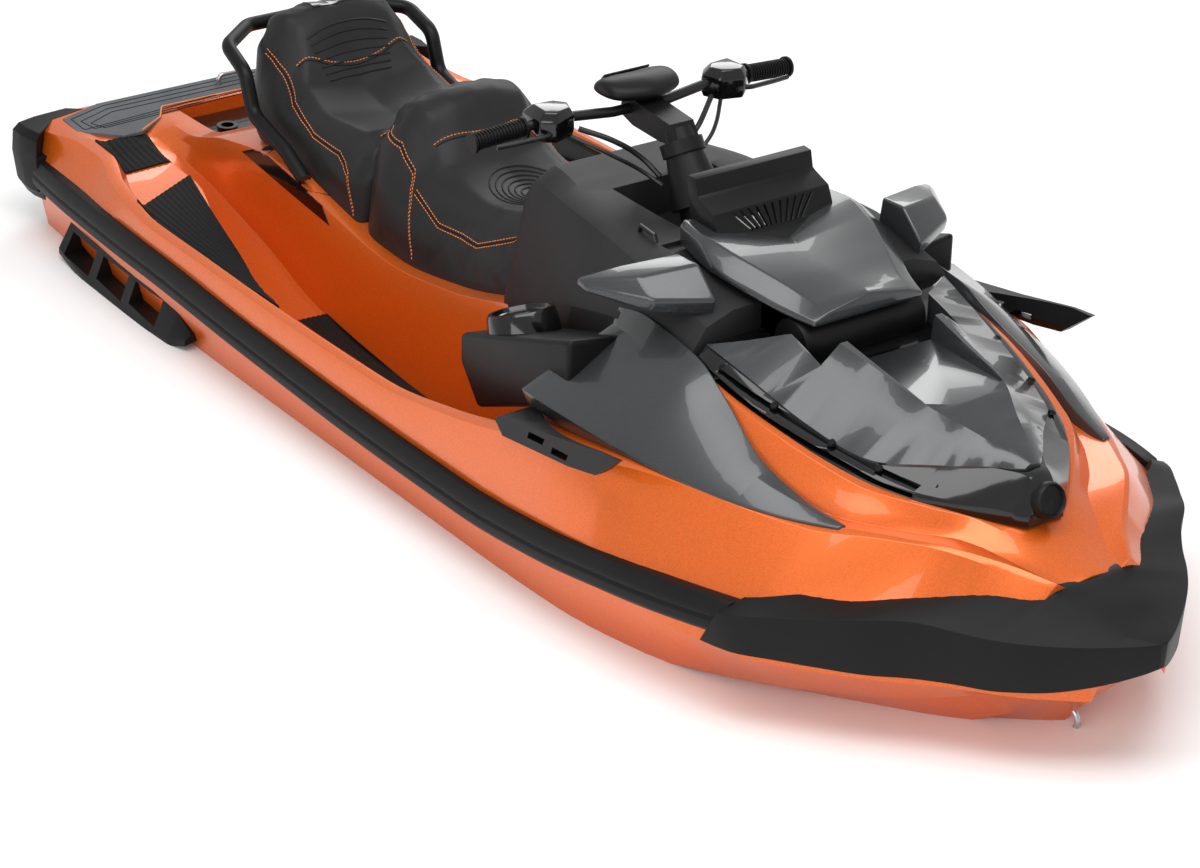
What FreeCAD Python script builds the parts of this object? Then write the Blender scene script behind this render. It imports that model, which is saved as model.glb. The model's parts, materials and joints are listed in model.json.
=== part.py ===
"""Two-up sport personal watercraft: a V hull and a moulded deck joined under a rub rail, a straddle seat,
a tilted steering column, a water-jet pump with a steering nozzle and reverse gate, and a storage lid.

+X points to the bow, +Y to port, +Z up. The origin is on the waterline amidships. Heights in the sheet are
measured from the keel's lowest line, and every piece is then placed down by the draught.
"""
import FreeCAD, Part
import Sketcher
import math
import os
import re

V = FreeCAD.Vector
doc = FreeCAD.newDocument("Watercraft")
sheet = doc.addObject("Spreadsheet::Sheet", "Sizes")
ALIASES = {}
NODES = {}

# Stations of the lines plan, from the stern to the stem. Each one gives its place and the half breadths and
# heights of the lines that run along the craft.
STATIONS = ("tail", "transom", "quarter", "aft", "well", "mid", "dash", "knee", "fore", "shoulder", "cheek",
            "bow", "stem", "peak")
LINE_NAMES = ("place", "keel", "chine_half", "chine_height", "bond_half", "crease_half", "crease_height",
              "rim_half", "rim_height", "valley_half", "valley_height", "plinth_half", "plinth_height",
              "crown_height")
OFFSETS = {
    "tail": (-1700, 6, 490, 205, 535, 522, 508, 488, 517, 380, 517, 250, 517, 517),
    "transom": (-1640, 6, 500, 205, 548, 528, 508, 492, 517, 380, 517, 250, 517, 517),
    "quarter": (-1400, 4, 515, 205, 574, 508, 520, 470, 520, 380, 517, 268, 522, 517),
    "aft": (-1000, 0, 535, 205, 594, 585, 497, 562, 502, 420, 505, 262, 602, 625),
    "well": (-500, 0, 540, 207, 600, 590, 500, 568, 505, 420, 505, 256, 512, 530),
    "mid": (0, 0, 540, 210, 600, 590, 508, 570, 512, 420, 522, 262, 600, 620),
    "dash": (350, 0, 540, 212, 600, 588, 565, 562, 574, 440, 600, 310, 690, 740),
    "knee": (600, 4, 535, 216, 597, 583, 622, 556, 632, 450, 665, 340, 790, 810),
    "fore": (850, 16, 510, 228, 582, 571, 668, 530, 678, 420, 690, 335, 752, 770),
    "shoulder": (1150, 62, 415, 268, 538, 505, 676, 430, 672, 350, 640, 292, 692, 706),
    "cheek": (1335, 138, 310, 312, 450, 395, 612, 330, 612, 260, 598, 175, 652, 660),
    "bow": (1456, 240, 220, 352, 362, 290, 582, 235, 588, 170, 580, 110, 606, 612),
    "stem": (1560, 365, 130, 408, 262, 190, 556, 150, 558, 110, 556, 60, 560, 560),
    "peak": (1645, 428, 60, 448, 140, 95, 545, 75, 550, 55, 550, 30, 552, 552),
}

SIZES = {
    # overall
    "length_overall": (3451, "stern bumper to bow bumper"),
    "beam_overall": (1255, "over the rub rails"),
    "draught": (260, "keel to waterline, empty"),
    "slip": (0.4, "gap between seated pieces"),
    # hull
    "bond_stern": (418, "height of the hull to deck joint at the transom"),
    "bond_bow": (485, "height of the joint at the stem"),
    "chine_flat": (16, "width of the flat outside the chine"),
    "strake_share": (0.5, "place of the lifting strake between keel and chine"),
    "strake_width": (22, "flat of the lifting strake"),
    "engine_front": (-150, "front of the engine bay"),
    "engine_rear": (-850, "rear of the engine bay"),
    "engine_half": (190, "half width of the engine bay"),
    "engine_floor": (112, "floor of the engine bay"),
    "engine_gap": (25, "air around the engine"),
    "engine_height": (300, "height of the engine block"),
    # footwells
    "tub_wall": (12, "thickness of the footwell liner"),
    "floor_height": (300, "footwell floor"),
    "tub_lean": (0.13, "slope of the footwell's outer wall"),
    "well_rim": (500, "height at which the footwell's widths are given"),
    # rub rail
    "rail_proud": (27, "how far the rub rail stands out"),
    "rail_half_height": (54, "half height of the rub rail"),
    # bumpers
    "bumper_low": (447, "underside of the bow bumper"),
    "bumper_crease": (532, "height of the bow bumper's outer crease"),
    "bumper_top": (588, "top of the bow bumper"),
    "bumper_rear": (1120, "rear end of the bow bumper"),
    "bumper_thick": (30, "thickness of the bow bumper at its side"),
    "stern_bumper_thick": (25, "thickness of the stern bumper"),
    # saddle under the seats
    "saddle_half": (236, "half width of the seat bed"),
    "saddle_rear": (-1150, "rear end of the seat bed"),
    "saddle_front": (-25, "front end of the seat bed"),
    "saddle_rear_height": (592, "seat bed height at its rear"),
    "saddle_low_height": (508, "lowest height of the seat bed"),
    "saddle_front_height": (588, "seat bed height at its front"),
    # jet pump
    "pump_height": (128, "pump axis above the keel"),
    "pump_front": (-1250, "front flange of the pump"),
    "pump_bore": (82, "bore radius of the wear ring"),
    "pump_wall": (14, "wall of the wear ring"),
    "flange_thick": (14, "thickness of the pump flange"),
    "pump_rear": (-1400, "rear of the wear ring"),
    "venturi_rear": (-1505, "outlet of the venturi"),
    "venturi_bore": (48, "outlet bore radius"),
    "venturi_wall": (7, "wall of the venturi"),
    "tunnel_half": (152, "half width of the pump tunnel"),
    "tunnel_top": (300, "roof of the pump tunnel"),
    "nozzle_pivot": (-1500, "steering nozzle pivot"),
    "nozzle_mouth": (70, "inner radius of the nozzle's front edge"),
    "nozzle_lead": (14, "pivot to the nozzle's front edge"),
    "nozzle_wall": (6, "wall of the steering nozzle"),
    "nozzle_exit": (42, "exit bore radius"),
    "nozzle_reach": (98, "pivot to exit"),
    "gate_radius": (124, "inner radius of the reverse gate"),
    "gate_wall": (6, "wall of the reverse gate"),
    "gate_half": (95, "half width inside the reverse gate"),
    "gate_arm": (6, "thickness of the arms that carry the gate, and their gap to it"),
    "gate_pin": (7, "radius of the gate's pins and of the nozzle's bolts"),
    "pin_play": (0.4, "radial play of a pin in its hole"),
    "blade_gap": (5, "impeller tip to bore"),
    "shaft_radius": (14, "drive shaft"),
    "duct_radius": (80, "intake duct"),
    # steering
    "column_x": (232, "collar centre along the craft"),
    "column_height": (998, "collar centre height"),
    "column_rake": (32, "column lean from upright, in degrees"),
    "column_shaft": (18, "radius of the steering shaft in its bearing"),
    "bar_radius": (11, "handlebar tube"),
    "bar_half": (401, "centreline to bar end"),
    "grip_radius": (17, "grip"),
    "grip_length": (125, "grip"),
    # hood and lid
    "shelf_front": (1391, "front of the hood's seat on the deck"),
    "shelf_front_height": (640, "its height"),
    "shelf_rear": (620, "rear of the hood's seat"),
    "shelf_rear_height": (794, "its height"),
    "lid_hinge_x": (800, "storage lid hinge"),
    "lid_hinge_height": (808, "storage lid hinge"),
    "knuckle_radius": (11, "round top of the lid hinge's knuckles"),
    "lid_pin": (6, "radius of the lid's hinge pin"),
    "bin_front": (765, "storage bin front"),
    "bin_rear": (505, "storage bin rear"),
    "bin_half": (150, "storage bin half width"),
    "bin_depth": (190, "storage bin depth"),
    "bin_wall": (5, "storage bin wall"),
    # boarding ladder
    "ladder_x": (-1662, "ladder hinge along the craft"),
    "ladder_height": (215, "ladder hinge height"),
    "ladder_half": (170, "half width between the ladder's arms"),
    "ladder_reach": (130, "hinge to tread"),
    "ladder_tube": (12, "tube radius"),
    # accessory sockets on the rear deck
    "socket_radius": (16, "accessory socket bore"),
    "socket_depth": (30, "accessory socket depth"),
    "socket_half": (130, "centreline to socket"),
    "socket_x": (-1440, "sockets along the craft"),
}


def fill_sheet():
    """Writes every driving dimension and every offset of the lines plan to the sheet."""
    rows = [(alias, value, note) for alias, (value, note) in SIZES.items()]
    for station in STATIONS:
        for name, value in zip(LINE_NAMES, OFFSETS[station]):
            rows.append((station + "_" + name, value, "lines plan"))
    for i, (alias, value, note) in enumerate(rows, 1):
        sheet.set("A%d" % i, note)
        sheet.set("B%d" % i, str(value))
        sheet.setAlias("B%d" % i, alias)
        ALIASES[alias] = value
    doc.recompute()


def bound(text):
    """The expression with each alias written as a cell of the sheet."""
    return re.sub(r"[a-z][a-z_]+", lambda m: "Sizes." + m.group() if m.group() in ALIASES else m.group(), str(text))


def size(text):
    """The value of an expression over the sheet."""
    return float(sheet.evalExpression(str(text)))


def place(obj):
    """Lowers a piece by the draught, so that its heights count from the waterline."""
    obj.setExpression("Placement.Base.z", "-Sizes.draught")


def new_body(name):
    body = doc.addObject("PartDesign::Body", name)
    place(body)
    return body


def origin_plane(body, role):
    return [f for f in body.Origin.OriginFeatures if f.Role == role][0]


def sketch(body, role, offset, points=(), circles=()):
    """A sketch on an origin plane, moved along its normal, with corners and circles bound to the sheet."""
    s = body.newObject("Sketcher::SketchObject", body.Name + "Sketch")
    s.AttachmentSupport = (origin_plane(body, role), "")
    s.MapMode = "FlatFace"
    s.setExpression("AttachmentOffset.Base.z", bound(offset))
    corners = [V(size(a), size(b), 0) for a, b in points]
    count = len(corners)
    for i in range(count):
        s.addGeometry(Part.LineSegment(corners[i], corners[(i + 1) % count]), False)
    for i in range(count):
        s.addConstraint(Sketcher.Constraint("Coincident", i, 2, (i + 1) % count, 1))
    for i in range(count):
        for kind, value, text in (("DistanceX", corners[i].x, points[i][0]), ("DistanceY", corners[i].y, points[i][1])):
            c = s.addConstraint(Sketcher.Constraint(kind, i, 1, value))
            s.setExpression("Constraints[%d]" % c, bound(text))
    for a, b, radius in circles:
        g = s.addGeometry(Part.Circle(V(size(a), size(b), 0), V(0, 0, 1), size(radius)), False)
        for kind, args in (("DistanceX", (g, 3, size(a))), ("DistanceY", (g, 3, size(b))), ("Radius", (g, size(radius)))):
            c = s.addConstraint(Sketcher.Constraint(kind, *args))
            text = {"DistanceX": a, "DistanceY": b, "Radius": radius}[kind]
            s.setExpression("Constraints[%d]" % c, bound(text))
    return s


def both_sides(half):
    """A closed outline from its half: the points run from the centreline out and back to the centreline."""
    mirrored = [("-(%s)" % a, b) for a, b in reversed(half) if str(a) != "0"]
    return list(half) + mirrored


def loft(body, sections, cut=False, ruled=False, role="YZ_Plane"):
    """Adds or cuts a loft through outlines on parallel planes. Each section is its place and its outline."""
    made = [sketch(body, role, at, points) for at, points in sections]
    feature = body.newObject("PartDesign::SubtractiveLoft" if cut else "PartDesign::AdditiveLoft", body.Name + "Loft")
    feature.Profile = made[0]
    feature.Sections = made[1:]
    feature.Ruled = ruled
    body.Tip = feature
    return feature


def pad(body, s, length, midplane=False, backwards=False, cut=False):
    feature = body.newObject("PartDesign::Pocket" if cut else "PartDesign::Pad", body.Name + "Pad")
    feature.Profile = s
    feature.setExpression("Length", bound(length))
    feature.Midplane = midplane
    feature.Reversed = backwards
    body.Tip = feature
    return feature


def revolve(body, s, cut=False):
    """Turns a profile drawn on the XZ plane about the sketch's own horizontal axis."""
    feature = body.newObject("PartDesign::Groove" if cut else "PartDesign::Revolution", body.Name + "Turn")
    feature.Profile = s
    feature.ReferenceAxis = (s, ["H_Axis"])
    feature.Angle = 360
    body.Tip = feature
    return feature


def feature(name, shape):
    """A piece whose shape is set directly, in keel heights, and then placed."""
    obj = doc.addObject("Part::Feature", name)
    obj.Shape = shape
    place(obj)
    return obj


def cut(name, base, *tools):
    """A piece trimmed to what it sits on."""
    for i, tool in enumerate(tools):
        made = doc.addObject("Part::Cut", name + "Trim%d" % i)
        made.Base = base
        made.Tool = tool
        base = made
    return base


def fuse(name, *parts):
    made = doc.addObject("Part::MultiFuse", name)
    made.Shapes = list(parts)
    return made


def mirrored(name, source):
    made = doc.addObject("Part::Mirroring", name)
    made.Source = source
    made.Normal = V(0, 1, 0)
    made.Base = V(0, 0, 0)
    return made


def node(label, obj):
    obj.Label = label
    NODES[label] = obj
    return obj


def pair(label, starboard):
    """The starboard piece and its mirror image to port."""
    node(label + "_starboard", starboard)
    node(label + "_port", mirrored(label.title().replace("_", "") + "Port", starboard))


# Lines plan

def bond(station):
    """Height of the hull to deck joint at a station, on one plane from the transom to the stem."""
    return "(bond_stern+(bond_bow-bond_stern)*(%s_place-transom_place)/(stem_place-transom_place))" % station


def rail_centre(station):
    """The rail follows the gunwale, a little above the joint."""
    lift = {"transom": 8, "quarter": 4, "aft": 2, "well": -4, "mid": -10, "dash": 0, "knee": 8, "fore": 22,
            "shoulder": 40, "tail": 8}[station]
    return "(%s+%d)" % (bond(station), lift)


HULL_STATIONS = STATIONS[1:]


def hull_section(station):
    chine = (station + "_chine_half", station + "_chine_height")
    keel = station + "_keel"
    rise = "(%s+(%s-%s)*strake_share)" % (keel, chine[1], keel)
    half = [
        ("0", keel),
        ("%s*strake_share" % chine[0], rise),
        ("%s*strake_share+strake_width" % chine[0], rise),
        chine,
        ("%s+chine_flat" % chine[0], "%s-3" % chine[1]),
        (station + "_bond_half", "%s-rail_half_height-8" % bond(station)),
        (station + "_bond_half", bond(station)),
    ]
    return station + "_place", both_sides(half)


def deck_section(station):
    half = [
        (station + "_bond_half", bond(station)),
        (station + "_bond_half", "%s+rail_half_height" % bond(station)),
    ]
    for line in ("crease", "rim", "valley", "plinth"):
        half.append(("%s_%s_half" % (station, line), "%s_%s_height" % (station, line)))
    half.append(("0", station + "_crown_height"))
    return station + "_place", both_sides(half)


# Footwells. Each row: place, inner and outer half breadth at the top, floor height.
WELLS = (
    ("-1440", "258", "300", "468"),
    ("-1150", "262", "375", "420"),
    ("-780", "262", "480", "floor_height+30"),
    ("-400", "258", "562", "floor_height"),
    ("100", "268", "562", "floor_height"),
    ("300", "300", "545", "floor_height+10"),
    ("440", "330", "520", "floor_height+40"),
)


def well_sections(grow="0", top="760", side=-1):
    """The footwell's space, or with grow the outside of its liner, on one side."""
    sections = []
    for i, (at, inner, outer, floor) in enumerate(WELLS):
        shift = {0: "-(%s)" % grow, len(WELLS) - 1: "+(%s)" % grow}.get(i, "")
        low = "(%s-(%s))" % (floor, grow)
        outline = [
            ("%s-(%s)-tub_lean*(%s-well_rim)/6" % (inner, grow, top), top),
            ("%s-(%s)-tub_lean*(%s-well_rim)/6" % (inner, grow, low), low),
            ("%s+(%s)+tub_lean*(%s-well_rim)" % (outer, grow, low), low),
            ("%s+(%s)+tub_lean*(%s-well_rim)" % (outer, grow, top), top),
        ]
        sections.append((at + shift, [("%d*(%s)" % (side, a), b) for a, b in outline]))
    return sections


def hull():
    """The V hull with its strake and chine, cut for the liners, the engine bay, the duct and the tunnel."""
    body = new_body("Hull")
    loft(body, [hull_section(s) for s in HULL_STATIONS])
    for side in (-1, 1):
        loft(body, well_sections("tub_wall+slip", "bond_bow+60", side), cut=True)
    bay = sketch(body, "XY_Plane", "engine_floor",
                 [("engine_rear", "-engine_half"), ("engine_front", "-engine_half"), ("engine_front", "engine_half"),
                  ("engine_rear", "engine_half")])
    pad(body, bay, "bond_bow", cut=True, backwards=True)
    tunnel = sketch(body, "XY_Plane", "-20",
                    [("transom_place-20", "-tunnel_half"), ("pump_front", "-tunnel_half"), ("pump_front", "tunnel_half"),
                     ("transom_place-20", "tunnel_half")])
    pad(body, tunnel, "tunnel_top+20", cut=True, backwards=True)
    return body


def duct_and_shaft_bore():
    """Space of the intake duct, which climbs from the hull's bottom to the pump, and of the drive shaft."""
    start = V(size("pump_front") - 1, 0, size("pump_height"))
    slope = math.radians(17)
    ahead = V(math.cos(slope), 0, -math.sin(slope))
    throat = Part.makeSphere(size("duct_radius"), start)
    tube = Part.makeCylinder(size("duct_radius"), 620, start, ahead)
    behind = Part.makeBox(400, 400, 500, V(start.x - 400, -200, -100))
    shaft = Part.makeCylinder(size("shaft_radius") + 5, size("engine_rear-pump_front") + 20, start, V(1, 0, 0))
    return feature("Duct", throat.fuse(tube).cut(behind).fuse(shaft))


def deck():
    """The moulded deck with footwell liners, seat bed, hood seat, mat recesses and storage well."""
    body = new_body("Deck")
    loft(body, [deck_section(s) for s in STATIONS])
    for side in (-1, 1):
        loft(body, well_sections("tub_wall", "bond_bow+10", side))
    for side in (-1, 1):
        loft(body, well_sections("0", "760", side), cut=True)
    saddle_cut(body)
    shelf = sketch(body, "XZ_Plane", "0", shelf_profile())
    pad(body, shelf, "2*352", midplane=True, cut=True)
    well = sketch(body, "XY_Plane", "shelf_rear_height-bin_depth-30",
                  [("bin_rear-6", "-bin_half-6"), ("bin_front+6", "-bin_half-6"), ("bin_front+6", "bin_half+6"),
                   ("bin_rear-6", "bin_half+6")])
    pad(body, well, "bin_depth+400", cut=True, backwards=True)
    platform = sketch(body, "XY_Plane", "512", mat_outline("0"))
    pad(body, platform, "80", cut=True, backwards=True)
    panel = sketch(body, "XY_Plane", "474", panel_outline(2))
    pad(body, panel, "80", cut=True, backwards=True)
    for side in (-1, 1):
        shelf_pad = sketch(body, "XY_Plane", "472", pad_outline(side, 0))
        pad(body, shelf_pad, "80", cut=True, backwards=True)
    return body


def saddle_points(low):
    """Side view of the seat bed: three straight runs, from the rear bolster down and up to the console."""
    return [
        ("saddle_rear", "saddle_rear_height+%s" % low),
        ("saddle_rear+180", "saddle_rear_height-8+%s" % low),
        ("-700", "saddle_low_height+8+%s" % low),
        ("-480", "saddle_low_height+%s" % low),
        ("-300", "saddle_low_height+14+%s" % low),
        ("saddle_front", "saddle_front_height+%s" % low),
    ]


def saddle_cut(body):
    top = [("saddle_front", "1200"), ("saddle_rear", "1200")]
    s = sketch(body, "XZ_Plane", "0", saddle_points("0") + top)
    pad(body, s, "2*saddle_half+8", midplane=True, cut=True)


def shelf_line(x, lift="0"):
    """Height of the plane that the hood and the console sit on."""
    return ("(shelf_front_height+(shelf_rear_height-shelf_front_height)*((%s)-shelf_front)/(shelf_rear-shelf_front)"
            "+(%s))" % (x, lift))


def shelf_profile():
    return [("saddle_front", "saddle_front_height"), ("shelf_rear", "shelf_rear_height"),
            ("shelf_front", "shelf_front_height"), ("shelf_front+14", "900"), ("shelf_front+14", "1200"),
            ("saddle_front", "1200")]


def mat_outline(inset):
    """Plan of the swim platform mat, a U open towards the seat."""
    half = [("tail_place+(%s)-1" % inset, "0"), ("tail_place+(%s)-1" % inset, "-350"), ("-1655+(%s)" % inset, "-470+(%s)" % inset),
            ("-1560", "-478+(%s)" % inset), ("-1478", "-395+(%s)" % inset), ("-1478-(%s)" % inset, "-340"),
            ("-1530-(%s)" % inset, "-262"), ("-1590-(%s)" % inset, "-225"), ("-1590-(%s)" % inset, "0")]
    other = [(a, "-(%s)" % b) for a, b in reversed(half) if b != "0"]
    return half + other


def panel_outline(grow):
    """Plan of the black panel behind the seat."""
    rear, front, half = -1572 - grow, -1352 + grow, 196 + grow
    return [(str(rear), str(-half)), (str(front), str(-half)), (str(front), str(half)), (str(rear), str(half))]


def pad_outline(side, inset):
    """Plan of the large traction pad on the shelf outboard of each footwell."""
    corners = [(-1262 + inset, -446 + inset), (-1318 + inset, -345 - inset), (-1180, -395 - inset), (-800, -502 - inset),
               (-560 - inset * 2, -552), (-905, -552 + inset)]
    return [(str(x), str(-side * y)) for x, y in corners]


def stretch(name, sections):
    body = new_body(name)
    loft(body, sections)
    return body


def rub_rail(*neighbours):
    """The starboard rub rail, a bevelled strip that covers the joint."""
    sections = []
    for station in STATIONS[1:10]:
        y = station + "_bond_half"
        z = rail_centre(station)
        outline = [("-(%s-14)" % y, "%s-rail_half_height" % z), ("-(%s+rail_proud-9)" % y, "%s-rail_half_height" % z),
                   ("-(%s+rail_proud)" % y, "%s-rail_half_height+12" % z), ("-(%s+rail_proud)" % y, "%s+10" % z),
                   ("-(%s+rail_proud-12)" % y, "%s+rail_half_height" % z), ("-(%s-14)" % y, "%s+rail_half_height" % z)]
        sections.append((station + "_place", outline))
    sections[-1] = ("bumper_rear-slip", sections[-1][1])
    return cut("RubRail", stretch("RubRailStrip", sections), *neighbours)


def plan_curve(points, top):
    """A closed plan outline from a smooth curve through points, from one side round the bow to the other."""
    curve = Part.BSplineCurve()
    curve.interpolate([V(x, y, top) for x, y in points])
    edge = curve.toShape()
    closing = Part.makeLine(edge.Vertexes[-1].Point, edge.Vertexes[0].Point)
    return Part.Face(Part.Wire([edge, closing]))


def bow_bumper(hull_piece, deck_piece):
    """The wedge-shaped bow bumper: its side is upright up to a crease, and its top falls outwards from the deck."""
    low, crease, top = size("bumper_low"), size("bumper_crease"), size("bumper_top")
    tip = size("length_overall") / 2
    rear = size("bumper_rear")
    half = [(rear, 571), (rear + 110, 535), (rear + 220, 480), (rear + 340, 392), (rear + 462, 272), (rear + 545, 150)]
    around = [(x, -y) for x, y in half] + [(tip, 0)] + [(x, y) for x, y in reversed(half)]
    inner = [(x - 40 * (x - rear) / (tip - rear) - 8, y * 0.93 - 14 * (y > 0) + 14 * (y < 0)) for x, y in around]
    lower = plan_curve(around, low)
    upright = lower.extrude(V(0, 0, crease - low))
    lift = Part.makeLoft([plan_curve(around, crease).OuterWire, plan_curve(inner, top + 4).OuterWire], True)
    solid = upright.fuse(lift)
    return cut("BowBumper", feature("BowBumperBlock", solid), hull_piece, deck_piece)


def stern_bumper(hull_piece, deck_piece):
    """The black band round the stern with raised corner caps."""
    tail = size("tail_place")
    thick = size("stern_bumper_thick")
    low, high = 372, 470
    half = size("tail_bond_half")
    outer = [(-1560, -(half + 36)), (-1640, -(half + 38)), (tail - 4, -(half - 8)), (tail - thick, -(half - 110)),
             (tail - thick, half - 110), (tail - 4, half - 8), (-1640, half + 38), (-1560, half + 36)]
    band = Part.Face(Part.makePolygon([V(x, y, low) for x, y in outer + outer[:1]])).extrude(V(0, 0, high - low))
    caps = []
    for s in (-1, 1):
        foot = [(-1640, s * (half + 36)), (tail - 4, s * (half - 8)), (tail - thick, s * (half - 110)), (tail + 6, s * (half - 150)),
                (-1668, s * (half - 40))]
        cap = Part.Face(Part.makePolygon([V(x, y, high) for x, y in foot + foot[:1]])).extrude(V(0, 0, 54))
        caps.append(cap)
    hollow = Part.makeBox(1000, 2 * half - 60, 400, V(size("transom_place"), -half + 30, 200))
    solid = band.cut(hollow).fuse(caps)
    return cut("SternBumper", feature("SternBumperBlock", solid), hull_piece, deck_piece)


def sponson(hull_piece):
    """The starboard sponson: a keeled fin on the hull's side with open pockets between its ribs."""
    body = new_body("SponsonBlock")
    rows = (("-1435", "566", "604", "276", "352"), ("-1300", "574", "614", "252", "356"), ("-1000", "584", "622", "244", "352"),
            ("-880", "586", "618", "256", "330"), ("-815", "588", "606", "276", "300"))
    sections = []
    for at, upper, lower, low, high in rows:
        outline = [("-500", high), ("-(%s)" % upper, high), ("-(%s)" % lower, "%s+14" % low), ("-(%s)" % lower, low),
                   ("-500", "%s+22" % low)]
        sections.append((at, outline))
    loft(body, sections, ruled=True)
    for i in range(3):
        x = -1405 + 165 * i
        s = sketch(body, "XZ_Plane", "556", [(str(x), "284"), (str(x + 130), "276"), (str(x + 130), "336"), (str(x), "336")])
        pad(body, s, "100", cut=True, backwards=True)
    return cut("Sponson", body, hull_piece)


def tube(name, points, radius, bend):
    """A round tube through points, with straight runs joined by tangent arcs."""
    path = [V(*p) for p in points]
    edges = []
    start = path[0]
    for before, corner, after in zip(path, path[1:], path[2:]):
        a = (before - corner).normalize()
        b = (after - corner).normalize()
        half = a.getAngle(b) / 2
        back = min(bend / math.tan(half), 0.45 * (before - corner).Length, 0.45 * (after - corner).Length)
        middle = (a + b).normalize()
        centre_distance = back / math.cos(half)
        radius_here = back * math.tan(half)
        first = corner + a * back
        last = corner + b * back
        crest = corner + middle * (centre_distance - radius_here)
        edges.append(Part.makeLine(start, first))
        edges.append(Part.Arc(first, crest, last).toShape())
        start = last
    edges.append(Part.makeLine(start, path[-1]))
    wire = Part.Wire(edges)
    ring = Part.Wire(Part.makeCircle(radius, path[0], path[1] - path[0]))
    return wire.makePipeShell([ring], True, True)


def block(points, low, high):
    """An upright prism on a plan outline."""
    face = Part.Face(Part.makePolygon([V(x, y, low) for x, y in points + points[:1]]))
    return face.extrude(V(0, 0, high - low))


def side_block(points, near, far):
    """A prism on a side-view outline, from one breadth to another."""
    face = Part.Face(Part.makePolygon([V(x, near, z) for x, z in points + points[:1]]))
    return face.extrude(V(0, far - near, 0))


def both(shape):
    """The shape and its mirror image as one compound."""
    return Part.makeCompound([shape, shape.mirror(V(0, 0, 0), V(0, 1, 0))])


def side_panel(deck_piece, console_piece):
    """The glossy starboard panel that covers the deck's flank from the console to the nose."""
    rows = (("462", "505", "640", "392", "815"), ("620", "580", "668", "352", "812"), ("850", "592", "706", "352", "782"),
            ("1150", "528", "698", "322", "722"), ("1345", "408", "628", "268", "664"))
    sections = []
    for at, low_half, low, high_half, high in rows:
        outline = [("-(%s)" % low_half, low), ("-(%s)" % high_half, high), ("-(%s)+30" % high_half, "%s-20" % high),
                   ("-(%s)+30" % low_half, "%s-60" % low)]
        sections.append((at, outline))
    return cut("SidePanel", stretch("SidePanelBlock", sections), deck_piece, console_piece)


def nose_sections(rows):
    """Sections on the sloping hood seat. Each row: place, half breadth, lift of the underside, lifts and breadths."""
    sections = []
    for at, foot, profile in rows:
        half = [("0", shelf_line(at, foot))] + [(y, shelf_line(at, lift)) for y, lift in profile]
        sections.append((at, both_sides(half)))
    return sections


def nose_trim(deck_piece):
    """The black band under the hood with the intakes and the round cap at the tip."""
    rows = (
        ("722", "0", (("316", "0"), ("312", "16"), ("300", "20"), ("0", "20"))),
        ("850", "0", (("308", "0"), ("304", "18"), ("292", "24"), ("0", "24"))),
        ("1050", "0", (("268", "0"), ("266", "20"), ("252", "28"), ("0", "28"))),
        ("1230", "0", (("196", "0"), ("194", "24"), ("180", "34"), ("0", "34"))),
        ("1360", "0", (("92", "0"), ("90", "24"), ("78", "38"), ("0", "38"))),
        ("1392", "0", (("50", "0"), ("48", "22"), ("40", "32"), ("0", "32"))),
    )
    body = stretch("NoseTrimBand", nose_sections(rows))
    cap = Part.makeCylinder(34, 60, V(1362, 0, 664), V(0.94, 0, 0.34))
    return cut("NoseTrim", fuse("NoseTrimWhole", body, feature("NoseCap", cap)), deck_piece)


def hood(trim_piece):
    """The glossy hood, low in the middle between two ridges that run to the tip."""
    rows = (
        ("722", "12", (("305", "12"), ("303", "40"), ("240", "62"), ("185", "66"), ("0", "58"))),
        ("850", "16", (("296", "16"), ("294", "46"), ("228", "78"), ("168", "90"), ("0", "66"))),
        ("1050", "20", (("256", "20"), ("254", "48"), ("196", "80"), ("130", "94"), ("0", "74"))),
        ("1230", "26", (("184", "26"), ("182", "52"), ("132", "84"), ("78", "94"), ("0", "82"))),
        ("1345", "30", (("84", "30"), ("82", "50"), ("60", "70"), ("34", "80"), ("0", "80"))),
    )
    body = stretch("HoodShell", nose_sections(rows))
    notch = Part.makeBox(106, 376, 200, V(712, -188, 700))
    return cut("Hood", body, trim_piece, feature("HoodNotch", notch))


def console(deck_piece):
    """The console: high sides with a strip along the top, open in the middle for the column and the bin."""
    rows = (
        ("-34", (("258", "590"), ("258", "615"), ("205", "838"), ("180", "858"), ("0", "858"))),
        ("8", (("268", "600"), ("268", "632"), ("214", "896"), ("160", "938"), ("0", "938"))),
        ("150", (("290", "645"), ("290", "690"), ("240", "912"), ("170", "944"), ("0", "944"))),
        ("330", (("318", "700"), ("318", "745"), ("262", "905"), ("196", "918"), ("0", "908"))),
        ("520", (("338", "758"), ("336", "790"), ("286", "888"), ("214", "902"), ("0", "880"))),
        ("714", (("332", "772"), ("330", "792"), ("296", "838"), ("222", "858"), ("0", "848"))),
    )
    sections = []
    for at, profile in rows:
        low = profile[0][1]
        sections.append((at, both_sides([("0", "%s-20" % low), (profile[0][0], "%s-20" % low)] + list(profile[1:]))))
    body = stretch("ConsoleBlock", sections)
    well = sketch(body, "XY_Plane", "820",
                  [("168", "-128"), ("470", "-128"), ("470", "128"), ("168", "128")])
    pad(body, well, "300", cut=True, backwards=True)
    bay = sketch(body, "XY_Plane", "500",
                 [("bin_rear-6", "-bin_half-6"), ("800", "-bin_half-6"), ("800", "bin_half+6"), ("bin_rear-6", "bin_half+6")])
    pad(body, bay, "600", cut=True, backwards=True)
    seat = sketch(body, "XZ_Plane", "0", [("441", "860"), ("800", "786"), ("800", "1100"), ("441", "1100")])
    pad(body, seat, "2*181", midplane=True, cut=True)
    return cut("Console", body, deck_piece)


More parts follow.
